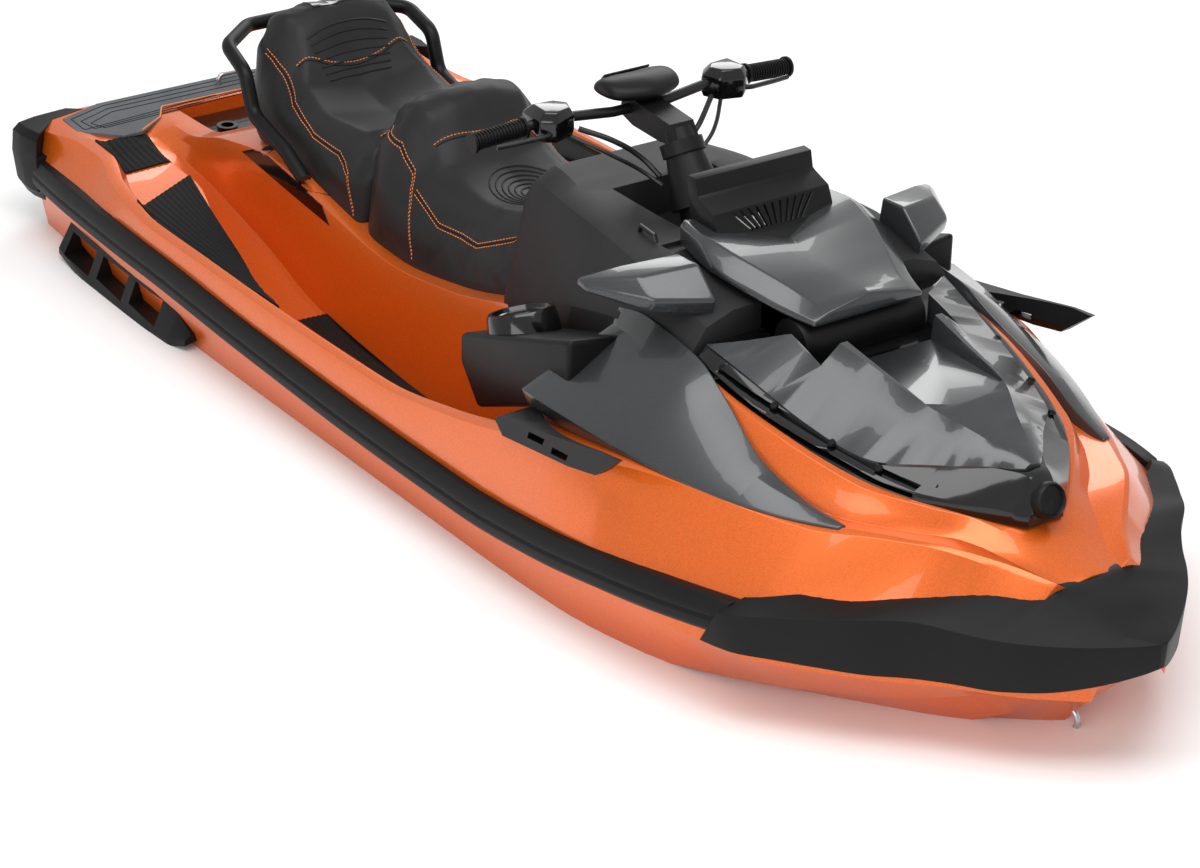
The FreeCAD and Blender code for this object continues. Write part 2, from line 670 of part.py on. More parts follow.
def storage_bin():
    """The open bin under the front lid."""
    floor = size("shelf_rear_height-bin_depth-30")
    x0, x1, half, wall = size("bin_rear"), size("bin_front"), size("bin_half"), size("bin_wall")
    outer = Part.makeBox(x1 - x0, 2 * half, 190, V(x0, -half, floor))
    inner = Part.makeBox(x1 - x0 - 2 * wall, 2 * half - 2 * wall, 400, V(x0 + wall, -half + wall, floor + wall))
    return feature("StorageBin", outer.cut(inner))


def column_point(along, ahead=0.0, side=0.0):
    """A point in the steering column's own frame: along its axis, ahead of it and to port."""
    rake = math.radians(size("column_rake"))
    axis = V(-math.sin(rake), 0, math.cos(rake))
    front = V(math.cos(rake), 0, math.sin(rake))
    return V(size("column_x"), 0, size("column_height")) + axis * along + front * ahead + V(0, side, 0)


def column_cone(low, high, low_radius, high_radius):
    axis = column_point(1) - column_point(0)
    return Part.makeCone(low_radius, high_radius, high - low, column_point(low), axis)


def column_bearing(console_piece):
    axis = column_point(1) - column_point(0)
    post = column_cone(-235, -130.4, 52, 46)
    bore = Part.makeCylinder(size("column_shaft+pin_play"), 90, column_point(-215), axis)
    return cut("ColumnBearing", feature("ColumnBearingPost", post.cut(bore)), console_piece)


def steering_column():
    """The column's shaft and cover, its collar and the arm that carries the handlebar clamp."""
    axis = column_point(1) - column_point(0)
    shaft = Part.makeCylinder(size("column_shaft"), 66, column_point(-194), axis)
    cover = column_cone(-130, -20, 60, 40).fuse(shaft)
    collar = Part.makeCylinder(46, 28, column_point(-20), axis)
    neck = column_cone(8, 34, 34, 30)
    arm = side_block([(256, 1008), (228, 1046), (62, 1062), (54, 1016), (100, 1002), (196, 998)], -30, 30)
    solid = cover.fuse([collar, neck, arm])
    clamp = Part.makeCylinder(size("bar_radius"), 80, V(84, -40, 1035), V(0, 1, 0))
    return feature("SteeringColumn", solid.cut(clamp))


def handlebar():
    half = size("bar_half")
    side = [(60, half, 1030), (75, 210, 1048), (84, 70, 1035)]
    points = [(x, -y, z) for x, y, z in side] + list(reversed(side))
    return feature("Handlebar", tube("Bar", points, size("bar_radius"), 90))


def grips(bar):
    """A ribbed grip with an end flange on each end of the bar."""
    half = size("bar_half")
    start = V(60, half + 4, 1030)
    along = (V(75, 210, 1048) - V(60, half, 1030)).normalize()
    grip = Part.makeCylinder(size("grip_radius"), size("grip_length"), start, along)
    for at in (0, size("grip_length") - 6):
        grip = grip.fuse(Part.makeCylinder(size("grip_radius") + 6, 6, start + along * at, along))
    return cut("Grips", feature("GripPair", both(grip)), bar)


def control_pod(bar):
    """The starboard switch pod on the bar."""
    plan = [(30, -262), (36, -196), (70, -168), (112, -186), (128, -240), (104, -268)]
    low = block([(x, y) for x, y in plan], 1014, 1062)
    top = Part.makeLoft([Part.makePolygon([V(x, y, 1062) for x, y in plan + plan[:1]]),
                         Part.makePolygon([V(0.8 * x + 14, 0.85 * y - 30, 1082) for x, y in plan + plan[:1]])], True)
    return cut("ControlPod", feature("ControlPodBlock", low.fuse(top)), bar)


def gauge_pod(column, bar):
    """The gauge housing over the clamp, with its face tilted to the rider."""
    profile = [(16, 1064), (40, 1098), (96, 1112), (142, 1094), (148, 1066), (110, 1056), (40, 1056)]
    body = side_block(profile, -84, 84)
    corner = Part.makeBox(200, 60, 200, V(0, 0, 1000))
    for s in (-1, 1):
        wedge = corner.copy()
        wedge.rotate(V(0, 0, 1000), V(0, 0, 1), s * 28)
        wedge.translate(V(52, s * 84 + (0 if s > 0 else -60), 0))
        body = body.cut(wedge)
    return cut("GaugePod", feature("GaugePodBlock", body), column, bar)


def levers(bar, pods):
    """The throttle and reverse levers in front of the grips."""
    blade = tube("Lever", [(104, 216, 1036), (122, 262, 1034), (112, 330, 1030), (104, 372, 1028)], 5.5, 30)
    return cut("Levers", feature("LeverPair", both(blade)), *pods)


def lid_shroud():
    """The front storage lid with its hinge pin at the front edge."""
    rows = (
        ("447", (("166", "868"), ("166", "886"), ("150", "898"), ("0", "888"))),
        ("520", (("173", "853"), ("173", "877"), ("154", "890"), ("0", "878"))),
        ("600", (("175", "837"), ("175", "862"), ("150", "878"), ("0", "864"))),
        ("710", (("173", "815"), ("172", "838"), ("140", "856"), ("0", "841"))),
        ("lid_hinge_x-knuckle_radius-2", (("150", "799"), ("149", "812"), ("110", "824"), ("0", "819"))),
    )
    sections = [(at, both_sides([("0", profile[0][1])] + list(profile))) for at, profile in rows]
    body = stretch("LidPanel", sections)
    x, z = size("lid_hinge_x"), size("lid_hinge_height")
    ear = Part.makeBox(22, 110, 12, V(x - 22, -55, z - 6))
    pin = Part.makeCylinder(size("lid_pin"), 180, V(x, -90, z), V(0, 1, 0))
    return fuse("LidShroud", body, feature("LidHingePin", ear.fuse(pin)))


def lid_hinge(*neighbours):
    """The two fixed knuckles that carry the lid's pin, standing on the nose band."""
    x, z, r = size("lid_hinge_x"), size("lid_hinge_height"), size("knuckle_radius")
    plate = Part.makeBox(2 * r, 12, z - 740, V(x - r, 62, 740))
    knuckle = Part.makeCylinder(r, 12, V(x, 62, z), V(0, 1, 0))
    hole = Part.makeCylinder(size("lid_pin+pin_play"), 40, V(x, 50, z), V(0, 1, 0))
    return cut("LidHinge", feature("LidHingePlates", both(plate.fuse(knuckle).cut(hole))), *neighbours)


def wind_deflector(lid):
    """The tall cowl on the lid, with a ribbed front slope and a flat lip on top."""
    profile = [(492, 866), (462, 985), (440, 1030), (446, 1042), (470, 1044), (522, 1030), (518, 1012), (560, 962), (655, 848)]
    body = side_block(profile, -142, 142)
    hollow = side_block([(470, 860), (440, 985), (466, 1012), (500, 1004), (548, 940), (606, 860)], -122, 122)
    return cut("WindDeflector", feature("WindDeflectorBlock", body.cut(hollow)), lid)


def mirror(console_piece):
    """The starboard mirror housing, a wedge that points outwards."""
    rows = (("262", [(560, 862), (690, 852), (702, 890), (640, 946), (572, 944)]),
            ("372", [(524, 872), (640, 868), (648, 898), (600, 930), (532, 930)]),
            ("442", [(488, 886), (520, 884), (526, 897), (508, 906), (489, 904)]))
    sections = [(at, [(str(x), str(z)) for x, z in points]) for at, points in rows]
    body = new_body("MirrorBlock")
    loft(body, sections, role="XZ_Plane", ruled=True)
    return cut("Mirror", body, console_piece)


def cleats(deck_piece, panels):
    """The black plates under the side panels, each with two slots for a line."""
    profile = [(446, 622), (474, 596), (700, 626), (790, 646), (862, 706), (800, 700), (640, 668), (470, 640)]
    plate = side_block(profile, -520, -602)
    for x in (560, 640):
        slot = side_block([(x, 628), (x + 52, 634), (x + 60, 650), (x + 6, 644)], -560, -640)
        plate = plate.cut(slot)
    return cut("Cleats", feature("CleatPair", both(plate)), deck_piece, *panels)


def speaker_pod(deck_piece, console_piece, panel):
    """The starboard speaker housing in the front of the footwell, with a ring on its rear top."""
    outer = [(150, 600), (214, 518), (500, 638), (540, 700), (540, 800), (150, 664)]
    inner = [(170, 590), (230, 520), (500, 630), (530, 700), (530, 770), (170, 650)]
    wire = [Part.makePolygon([V(x, y, z) for x, z in points + points[:1]]) for y, points in ((-492, outer), (-330, inner))]
    body = Part.makeLoft(wire, True)
    ring = Part.makeCone(76, 70, 60, V(268, -408, 676), V(-0.33, 0, 0.94))
    return cut("SpeakerPod", feature("SpeakerPodBlock", body.fuse(ring)), deck_piece, console_piece, panel)


def seat_body(name, rows):
    """A seat as a loft; each row: place and the half outline above the seat bed."""
    sections = []
    for at, bed, profile in rows:
        half = [("0", "%s-60" % bed), ("saddle_half", "%s-60" % bed)] + list(profile)
        sections.append((at, both_sides(half)))
    return stretch(name, sections)


def passenger_seat(deck_piece):
    rows = (
        ("-1212", "590", (("176", "640"), ("178", "780"), ("150", "846"), ("0", "858"))),
        ("-1160", "590", (("226", "640"), ("205", "800"), ("140", "888"), ("0", "900"))),
        ("-1100", "588", (("236", "640"), ("196", "790"), ("120", "850"), ("0", "852"))),
        ("-1020", "580", (("237", "630"), ("214", "716"), ("168", "744"), ("0", "716"))),
        ("-900", "560", (("237", "600"), ("218", "688"), ("170", "716"), ("0", "686"))),
        ("-760", "530", (("237", "560"), ("214", "690"), ("166", "722"), ("0", "704"))),
        ("-664", "516", (("236", "540"), ("206", "700"), ("156", "752"), ("0", "760"))),
    )
    return cut("PassengerSeat", seat_body("PassengerSeatBlock", rows), deck_piece)


def driver_seat(deck_piece, passenger, console_piece):
    rows = (
        ("-662", "516", (("236", "540"), ("208", "720"), ("150", "800"), ("0", "812"))),
        ("-590", "512", (("237", "530"), ("212", "742"), ("140", "846"), ("0", "872"))),
        ("-515", "508", (("237", "528"), ("206", "730"), ("130", "826"), ("0", "858"))),
        ("-440", "508", (("236", "530"), ("196", "690"), ("140", "736"), ("0", "730"))),
        ("-300", "522", (("234", "545"), ("180", "676"), ("130", "706"), ("0", "694"))),
        ("-160", "556", (("232", "575"), ("176", "700"), ("124", "730"), ("0", "722"))),
        ("-36", "588", (("224", "610"), ("176", "770"), ("120", "806"), ("0", "812"))),
    )
    return cut("DriverSeat", seat_body("DriverSeatBlock", rows), deck_piece, passenger, console_piece)


def grab_rail(deck_piece, seat):
    side = [(-860, -256, 590), (-940, -257, 634), (-1086, -257, 676), (-1120, -257, 770), (-1215, -250, 804), (-1292, -150, 812)]
    points = side + [(x, -y, z) for x, y, z in reversed(side)]
    return cut("GrabRail", feature("GrabRailTube", tube("Grab", points, 17, 46)), deck_piece, seat)


def swim_mat():
    body = new_body("SwimMat")
    s = sketch(body, "XY_Plane", "512", mat_outline("2"))
    pad(body, s, "7")
    return body


def traction_pads(deck_piece):
    plates = block([(float(x), float(y)) for x, y in pad_outline(-1, 3)], 472, 481)
    return feature("TractionPads", both(plates))


def footwell_mats(deck_piece):
    """Thin mats on the footwell floors."""
    body = new_body("FootwellMatBlock")
    rows = (("-760", "290", "430", "345"), ("-400", "284", "510", "floor_height+6"), ("100", "292", "510", "floor_height+6"),
            ("300", "322", "496", "floor_height+16"))
    sections = []
    for at, inner, outer, top in rows:
        sections.append((at, [("-(%s)" % inner, top), ("-(%s)" % inner, "%s-15" % top), ("-(%s)" % outer, "%s-15" % top),
                              ("-(%s)" % outer, top)]))
    loft(body, sections, ruled=True)
    trimmed = cut("FootwellMatStarboard", body, deck_piece)
    return fuse("FootwellMats", trimmed, mirrored("FootwellMatPort", trimmed))


def deck_panel():
    """The black panel behind the seat with two sockets for accessories."""
    plate = block([(float(x), float(y)) for x, y in panel_outline(0)], 474, 482)
    x, y, r, deep = size("socket_x"), size("socket_half"), size("socket_radius"), size("socket_depth")
    for s in (-1, 1):
        plate = plate.fuse(Part.makeCylinder(r + 10, deep, V(x, s * y, 474)))
    for s in (-1, 1):
        plate = plate.cut(Part.makeCylinder(r, deep, V(x, s * y, 474)))
    return feature("DeckPanel", plate)


def tow_hook(deck_piece, mat):
    loop = tube("Hook", [(-1650, -34, 514), (-1650, -34, 545), (-1650, 34, 545), (-1650, 34, 514)], 6, 18)
    return cut("TowHook", feature("TowHookLoop", loop), deck_piece, mat)


def bow_eye(hull_piece):
    loop = Part.makeTorus(24, 6.5, V(1500, 0, 270), V(0, 1, 0))
    return cut("BowEye", feature("BowEyeLoop", loop), hull_piece)


def ride_plate():
    body = new_body("RidePlate")
    slope = "(transom_keel+(transom_chine_height-transom_keel)*tunnel_half/transom_chine_half)"
    rear = [("0", "transom_keel"), ("tunnel_half", slope), ("tunnel_half", slope + "+8"), ("0", "transom_keel+8")]
    s = sketch(body, "YZ_Plane", "nozzle_pivot", both_sides(rear))
    pad(body, s, "pump_front-flange_thick-2-nozzle_pivot")
    return body


def intake_grate(hull_piece):
    """Bars along the intake opening on two cross ties that follow the bottom."""
    bars = []
    for i in range(-2, 3):
        y = 26 * i
        low = 0.38 * abs(y) + 1
        bars.append(Part.makeBox(470, 7, 16, V(-1090, y - 3.5, low)))
    ties = []
    for x in (-1090, -860, -640):
        tie = Part.Face(Part.makePolygon([V(x, -84, 33), V(x, 0, 1), V(x, 84, 33), V(x, 84, 45), V(x, 0, 13), V(x, -84, 45), V(x, -84, 33)]))
        ties.append(tie.extrude(V(16, 0, 0)))
    return cut("IntakeGrate", feature("IntakeGrateBars", bars[0].fuse(bars[1:] + ties)), hull_piece)


def axial(profile):
    """A solid turned about the pump's axis from a profile of places and radii."""
    z = size("pump_height")
    points = [V(x, 0, z + r) for x, r in profile]
    face = Part.Face(Part.makePolygon(points + points[:1]))
    return face.revolve(V(0, 0, z), V(1, 0, 0), 360)


def pump_housing():
    """Wear ring, straightening vanes, venturi and the two arms that carry the reverse gate."""
    front, rear, out = size("pump_front"), size("pump_rear"), size("venturi_rear")
    bore, wall, exit_bore, exit_wall = size("pump_bore"), size("pump_wall"), size("venturi_bore"), size("venturi_wall")
    shell = axial([(front, bore), (front, bore + wall + 14), (front - 14, bore + wall + 14), (front - 14, bore + wall), (rear, bore + wall),
                   (rear - 58, exit_bore + exit_wall), (out, exit_bore + exit_wall), (out, exit_bore), (rear - 62, exit_bore), (rear, bore)])
    hub = axial([(rear + 8, 12.06), (rear + 8, 30), (rear - 30, 26), (rear - 66, 8), (rear - 66, 0), (rear - 18, 0), (rear - 18, 12.06)])
    z = size("pump_height")
    vanes = []
    for i in range(6):
        vane = Part.makeBox(44, 5, bore - 14, V(rear - 36, -2.5, z + 16))
        vane = vane.common(axial([(rear + 10, 0), (rear + 10, bore + 4), (rear, bore + 4), (rear - 62, exit_bore + 2), (rear - 62, 0)]))
        vane.rotate(V(0, 0, z), V(1, 0, 0), 60 * i)
        vanes.append(vane)
    pivot, pin, arm_thick = size("nozzle_pivot"), size("gate_pin"), size("gate_arm")
    near = size("gate_half-2*gate_arm")
    arm = Part.makeBox(104, arm_thick, 36, V(pivot - 16, near, z - 18))
    arm = arm.fuse(Part.makeBox(26, near + arm_thick - 50, 36, V(pivot + 66, 50, z - 18)))
    arm = arm.cut(Part.makeCylinder(pin + size("pin_play"), 40, V(pivot, near - 20, z), V(0, 1, 0)))
    bolt = Part.makeCylinder(pin, size("nozzle_mouth+nozzle_wall-venturi_bore"), V(pivot, 0, z + exit_bore + 3))
    bolts = [bolt, bolt.mirror(V(0, 0, z), V(0, 0, 1))]
    body = shell.fuse([hub] + vanes + [arm, arm.mirror(V(0, 0, 0), V(0, 1, 0))] + bolts)
    return feature("PumpHousing", body)


def steering_nozzle():
    """The steering nozzle, a cone wide enough in front to swing round the venturi's outlet on two bolts."""
    pivot, mouth, wall = size("nozzle_pivot"), size("nozzle_mouth"), size("nozzle_wall")
    out, reach, lead = size("nozzle_exit"), size("nozzle_reach"), size("nozzle_lead")
    shell = axial([(pivot + lead, mouth), (pivot + lead, mouth + wall), (pivot - reach, out + wall),
                   (pivot - reach, out)])
    holes = Part.makeCylinder(size("gate_pin+pin_play"), 4 * mouth, V(pivot, 0, size("pump_height") - 2 * mouth))
    return feature("SteeringNozzle", shell.cut(holes))


def reverse_bucket():
    """The reverse gate, parked above the jet: a curved plate between two side plates on pins."""
    pivot, z = size("nozzle_pivot"), size("pump_height")
    inner, wall, half = size("gate_radius"), size("gate_wall"), size("gate_half")

    def around(radius):
        return [(pivot + radius * math.cos(math.radians(a)), z + radius * math.sin(math.radians(a))) for a in range(75, 151, 15)]
    curved = side_block(around(inner + wall) + around(inner)[::-1], -half - wall, half + wall)
    plate = [(pivot - 24, z - 4), (pivot, z - 20), (pivot + 22, z - 4)] + around(inner + wall)
    sides = [side_block(plate, s * half, s * (half + wall)) for s in (-1, 1)]
    shell = curved.fuse(sides)
    inside = half - 2 * size("gate_arm")
    pin = Part.makeCylinder(size("gate_pin"), half + 2 - inside, V(pivot, inside, z), V(0, 1, 0))
    return feature("ReverseBucket", shell.fuse([pin, pin.mirror(V(0, 0, 0), V(0, 1, 0))]))


def impeller():
    z, front, rear = size("pump_height"), size("pump_front"), size("pump_rear")
    tip = size("pump_bore") - size("blade_gap")
    hub = axial([(front - 14, 0), (front - 14, 24), (rear + 16, 34), (rear + 16, 12), (rear - 10, 12), (rear - 10, 0)])
    shaft = Part.makeCylinder(size("shaft_radius"), size("engine_rear-engine_gap-pump_front") + 20, V(front - 20, 0, z), V(1, 0, 0))
    blades = []
    for i in range(4):
        wires = []
        for k in range(5):
            x = front - 26 - k * (front - rear - 50) / 4
            plate = Part.makePolygon([V(x, -2.5, z + 18), V(x, 2.5, z + 18), V(x, 2.5, z + tip), V(x, -2.5, z + tip), V(x, -2.5, z + 18)])
            plate.rotate(V(x, 0, z), V(1, 0, 0), 90 * i + 18 * k)
            wires.append(plate)
        blades.append(Part.makeLoft(wires, True))
    return feature("Impeller", hub.fuse([shaft] + blades))


def boarding_ladder():
    """A folding step, parked against the transom and swung down behind the craft to board."""
    x, z, half, reach, r = size("ladder_x"), size("ladder_height"), size("ladder_half"), size("ladder_reach"), size("ladder_tube")
    loop = tube("Ladder", [(x, half, z), (x, half, z + reach), (x, -half, z + reach), (x, -half, z)], r, 40)
    pin = Part.makeCylinder(9, 2 * half + 60, V(x, -half - 30, z), V(0, 1, 0))
    return feature("BoardingLadder", loop.fuse(pin))


def ladder_brackets():
    """The two fixed ears on the transom that hold the ladder's pin."""
    x, z, half = size("ladder_x"), size("ladder_height"), size("ladder_half")
    ear = Part.makeBox(size("transom_place") - x + 16, 12, 36, V(x - 16, half + 17, z - 18))
    ear = ear.cut(Part.makeCylinder(9.4, 60, V(x, half, z), V(0, 1, 0)))
    return feature("LadderBrackets", both(ear))


def build():
    """Makes every piece and names its node."""
    fill_sheet()
    whole_hull = hull()
    duct = duct_and_shaft_bore()
    hull_piece = node("hull", cut("HullShell", whole_hull, duct))
    deck_piece = node("deck", deck())
    engine = doc.addObject("Part::Box", "EngineBlock")
    engine.setExpression("Length", bound("engine_front-engine_rear-2*engine_gap"))
    engine.setExpression("Width", bound("2*engine_half-2*engine_gap"))
    engine.setExpression("Height", bound("engine_height"))
    engine.setExpression("Placement.Base.x", bound("engine_rear+engine_gap"))
    engine.setExpression("Placement.Base.y", bound("engine_gap-engine_half"))
    engine.setExpression("Placement.Base.z", bound("engine_floor-draught"))
    node("engine_block", engine)
    bow = node("bow_bumper", bow_bumper(hull_piece, deck_piece))
    stern = node("stern_bumper", stern_bumper(hull_piece, deck_piece))
    pair("rub_rail", rub_rail(hull_piece, deck_piece, bow, stern))
    pair("sponson", sponson(hull_piece))
    console_piece = node("console", console(deck_piece))
    panel = side_panel(deck_piece, console_piece)
    pair("side_panel", panel)
    trim = node("nose_trim", nose_trim(deck_piece))
    hood_piece = node("hood", hood(trim))
    node("storage_bin", storage_bin())
    node("column_bearing", column_bearing(console_piece))
    pair("mirror", mirror(console_piece))
    node("cleats", cleats(deck_piece, [NODES["side_panel_starboard"], NODES["side_panel_port"]]))
    pair("speaker_pod", speaker_pod(deck_piece, console_piece, panel))
    passenger = node("passenger_seat", passenger_seat(deck_piece))
    node("driver_seat", driver_seat(deck_piece, passenger, console_piece))
    node("grab_rail", grab_rail(deck_piece, passenger))
    mat = node("swim_mat", swim_mat())
    node("traction_pads", traction_pads(deck_piece))
    node("footwell_mats", footwell_mats(deck_piece))
    node("deck_panel", deck_panel())
    node("tow_hook", tow_hook(deck_piece, mat))
    node("bow_eye", bow_eye(hull_piece))
    node("ride_plate", ride_plate())
    node("intake_grate", intake_grate(hull_piece))
    node("pump_housing", pump_housing())
    column = node("steering_column", steering_column())
    bar = node("handlebar", handlebar())
    node("grips", grips(bar))
    pair("control_pod", control_pod(bar))
    node("gauge_pod", gauge_pod(column, bar))
    node("levers", levers(bar, [NODES["control_pod_starboard"], NODES["control_pod_port"]]))
    lid = node("storage_lid", lid_shroud())
    node("lid_hinge", lid_hinge(trim, deck_piece, hood_piece))
    node("wind_deflector", wind_deflector(lid))
    node("steering_nozzle", steering_nozzle())
    node("reverse_bucket", reverse_bucket())
    node("impeller", impeller())
    node("boarding_ladder", boarding_ladder())
    node("ladder_brackets", ladder_brackets())


def check():
    """Stops if any object failed or any piece is empty or broken."""
    doc.recompute()
    for obj in doc.Objects:
        if {"Invalid", "Error"} & set(obj.State):
            raise RuntimeError("failed: " + obj.Name + " " + str(obj.State))
    for label, obj in NODES.items():
        shape = obj.Shape
        if shape.isNull() or not shape.isValid() or not shape.Solids:
            raise RuntimeError("no valid shape: " + label)
        print("%-24s %8.2f litres %3d solids %4d faces" % (label, shape.Volume / 1e6, len(shape.Solids), len(shape.Faces)))


def write_nodes():
    os.makedirs("parts", exist_ok=True)
    for label, obj in NODES.items():
        obj.Shape.exportStep(os.path.join("parts", label + ".step"))


build()
check()
write_nodes()
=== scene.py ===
"""Looks of a sport personal watercraft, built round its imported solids."""

import json
import math

import bmesh
import bpy
from bpy.props import FloatProperty, FloatVectorProperty, PointerProperty
from mathutils import Matrix, Vector
from mathutils.bvhtree import BVHTree


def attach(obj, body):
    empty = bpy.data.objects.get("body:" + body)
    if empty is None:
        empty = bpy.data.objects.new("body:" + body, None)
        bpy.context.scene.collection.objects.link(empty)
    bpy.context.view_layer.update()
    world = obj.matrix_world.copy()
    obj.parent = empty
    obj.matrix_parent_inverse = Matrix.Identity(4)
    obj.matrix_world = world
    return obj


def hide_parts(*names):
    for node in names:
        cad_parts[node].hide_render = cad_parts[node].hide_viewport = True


bl_info = {
    "name": "Watercraft Finish",
    "version": (1, 0, 0),
    "blender": (4, 5, 0),
    "location": "View3D > Sidebar > Watercraft",
    "description": "Dresses the solids of a personal watercraft with its finishes and fine parts",
    "category": "Object",
}

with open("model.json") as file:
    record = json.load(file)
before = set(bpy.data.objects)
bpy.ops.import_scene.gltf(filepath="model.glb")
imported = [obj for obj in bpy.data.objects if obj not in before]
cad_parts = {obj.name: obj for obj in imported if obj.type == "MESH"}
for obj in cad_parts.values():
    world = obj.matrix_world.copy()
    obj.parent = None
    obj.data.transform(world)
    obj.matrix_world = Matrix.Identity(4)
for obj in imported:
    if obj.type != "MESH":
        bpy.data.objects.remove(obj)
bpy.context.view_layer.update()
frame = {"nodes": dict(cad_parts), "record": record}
DRAUGHT = 260
TIP = 1725.5
ORANGE = (0.70, 0.120, 0.007)
SEAT_GREY = (0.0165, 0.016, 0.0165)
STITCH_ORANGE = (0.75, 0.22, 0.06)


class PaintSizes(bpy.types.PropertyGroup):
    """Colours and grain of the moulded shells."""
    orange: FloatVectorProperty(name="Orange", description="Colour of the hull and the deck",
                                subtype="COLOR", size=3, default=ORANGE, min=0, max=1)
    flake: FloatProperty(name="Flake", description="Width of one metal flake", default=0.0012,
                         unit="LENGTH")
    grain: FloatProperty(name="Grain", description="Spacing of the moulded grain", default=0.0022,
                         unit="LENGTH")


class SeatSizes(bpy.types.PropertyGroup):
    """Padding and sewing of the seats."""
    voxel: FloatProperty(name="Voxel", description="Size of the cells that the padding starts from",
                         default=0.0075, unit="LENGTH")
    pressure: FloatProperty(name="Pressure", description="How hard the foam presses the vinyl out",
                            default=4.0)
    swell: FloatProperty(name="Swell", description="Furthest that the padding may rise", default=0.009,
                         unit="LENGTH")
    stitch: FloatProperty(name="Stitch", description="Spacing of the stitches", default=0.0085,
                          unit="LENGTH")
    vinyl: FloatVectorProperty(name="Vinyl", description="Colour of the seats", subtype="COLOR", size=3,
                               default=SEAT_GREY, min=0, max=1)


class StageSizes(bpy.types.PropertyGroup):
    """Camera and room."""
    lens: FloatProperty(name="Lens", description="Focal length on a 36 mm frame", default=105.17)
    eye: FloatVectorProperty(name="Eye", description="Camera place", subtype="TRANSLATION",
                             default=(5.5782, -4.0401, 3.458))
    yaw: FloatProperty(name="Yaw", description="Heading of the view from the bow axis", subtype="ANGLE",
                       default=math.radians(144.249))
    pitch: FloatProperty(name="Pitch", description="Tilt of the view", subtype="ANGLE",
                         default=math.radians(-26.848))
    roll: FloatProperty(name="Roll", description="Roll of the view", subtype="ANGLE",
                        default=math.radians(1.258))


# Meshes. Places, breadths and heights above the keel are in millimetres, as on a lines plan.

def point(x, y, z):
    """A place on the craft as a vector in the frame."""
    return Vector((x, y, z - DRAUGHT)) / 1000


def slopes(places, values):
    """Slopes at each place of a curve that never swings past its values."""
    steps = [(b - a) / (q - p) for p, q, a, b in zip(places, places[1:], values, values[1:])]
    inner = [0.0 if a * b <= 0 else 2 * a * b / (a + b) for a, b in zip(steps, steps[1:])]
    return [steps[0]] + inner + [steps[-1]]


def faired(rows, steps):
    """The rows, each a list of numbers that starts with its place, with more between on fair curves."""
    places = [row[0] for row in rows]
    columns = [slopes(places, [row[k] for row in rows]) for k in range(len(rows[0]))]
    out = []
    for i in range(len(rows) - 1):
        width = places[i + 1] - places[i]
        for s in range(steps):
            t = s / steps
            start, end = 2 * t ** 3 - 3 * t ** 2 + 1, 3 * t ** 2 - 2 * t ** 3
            leave, arrive = t ** 3 - 2 * t ** 2 + t, t ** 3 - t ** 2
            out.append([start * rows[i][k] + leave * width * columns[k][i] + end * rows[i + 1][k]
                        + arrive * width * columns[k][i + 1] for k in range(len(rows[0]))])
    out.append(list(rows[-1]))
    return out


def flat(rows):
    """Rows of a place and (breadth, height) pairs as plain lists of numbers."""
    return [[row[0]] + [value for pair in row[1] for value in pair] for row in rows]


def pairs(numbers):
    return list(zip(numbers[0::2], numbers[1::2]))


def whole(half):
    """A plan outline from its starboard half, which may end on the centre plane."""
    tail = half[:-1] if half[-1][1] == 0 else half
    return list(half) + [(x, -y) for x, y in reversed(tail)]


def both_sides(half):
    """A closed outline from its half, which starts or ends on the centre plane."""
    return list(half) + [(-y, z) for y, z in reversed(half) if abs(y) > 1e-6]


def new_piece(name, bm):
    """A mesh object from a bmesh with its doubles merged and its faces turned outwards."""
    bmesh.ops.remove_doubles(bm, verts=bm.verts, dist=0.00002)
    bmesh.ops.recalc_face_normals(bm, faces=bm.faces)
    mesh = bpy.data.meshes.new(name)
    bm.to_mesh(mesh)
    bm.free()
    piece = bpy.data.objects.new(name, mesh)
    bpy.context.scene.collection.objects.link(piece)
    return piece


def add_skin(bm, rings):
    """A closed skin through rings of as many points each."""
    loops = [[bm.verts.new(p) for p in ring] for ring in rings]
    count = len(loops[0])
    for a, b in zip(loops, loops[1:]):
        for j in range(count):
            corners = [a[j], a[(j + 1) % count], b[(j + 1) % count], b[j]]
            bm.faces.new(corners)
    bm.faces.new(loops[0])
    bm.faces.new(list(reversed(loops[-1])))


def skin(name, *groups):
    """One mesh of a closed skin through each group of rings."""
    bm = bmesh.new()
    for rings in groups:
        add_skin(bm, rings)
    return new_piece(name, bm)


def mirrored(rings):
    """The rings on the other side of the centre plane."""
    return [[Vector((p.x, -p.y, p.z)) for p in ring] for ring in rings]


def station_rings(rows, steps, symmetric=True):
    """Rings at right angles to the craft's length, from rows of a place and the section's corners."""
    rings = []
    for row in faired(flat(rows), steps):
        outline = pairs(row[1:])
        outline = both_sides(outline) if symmetric else outline
        rings.append([point(row[0], y, z) for y, z in outline])
    return rings


def prism(outline, low, high):
    """Rings of an upright prism on a plan outline of (place, breadth) corners."""
    return [[point(x, y, z) for x, y in outline] for z in (low, high)]


def slab(outline, near, far):
    """Rings of a plate on a side outline of (place, height) corners."""
    return [[point(x, y, z) for x, z in outline] for y in (near, far)]


def box(x0, x1, y0, y1, z0, z1):
    return prism([(x0, y0), (x1, y0), (x1, y1), (x0, y1)], z0, z1)


def round_bar(start, end, radii, sides=24):
    """Rings of a round bar between two points, its radii in millimetres spread evenly along it."""
    along = (end - start).normalized()
    turn = along.to_track_quat("Z", "Y").to_matrix()
    rings = []
    for i, radius in enumerate(radii):
        centre = start.lerp(end, i / (len(radii) - 1))
        rings.append([centre + turn @ Vector((math.cos(a), math.sin(a), 0)) * radius / 1000
                      for a in [2 * math.pi * k / sides for k in range(sides)]])
    return rings


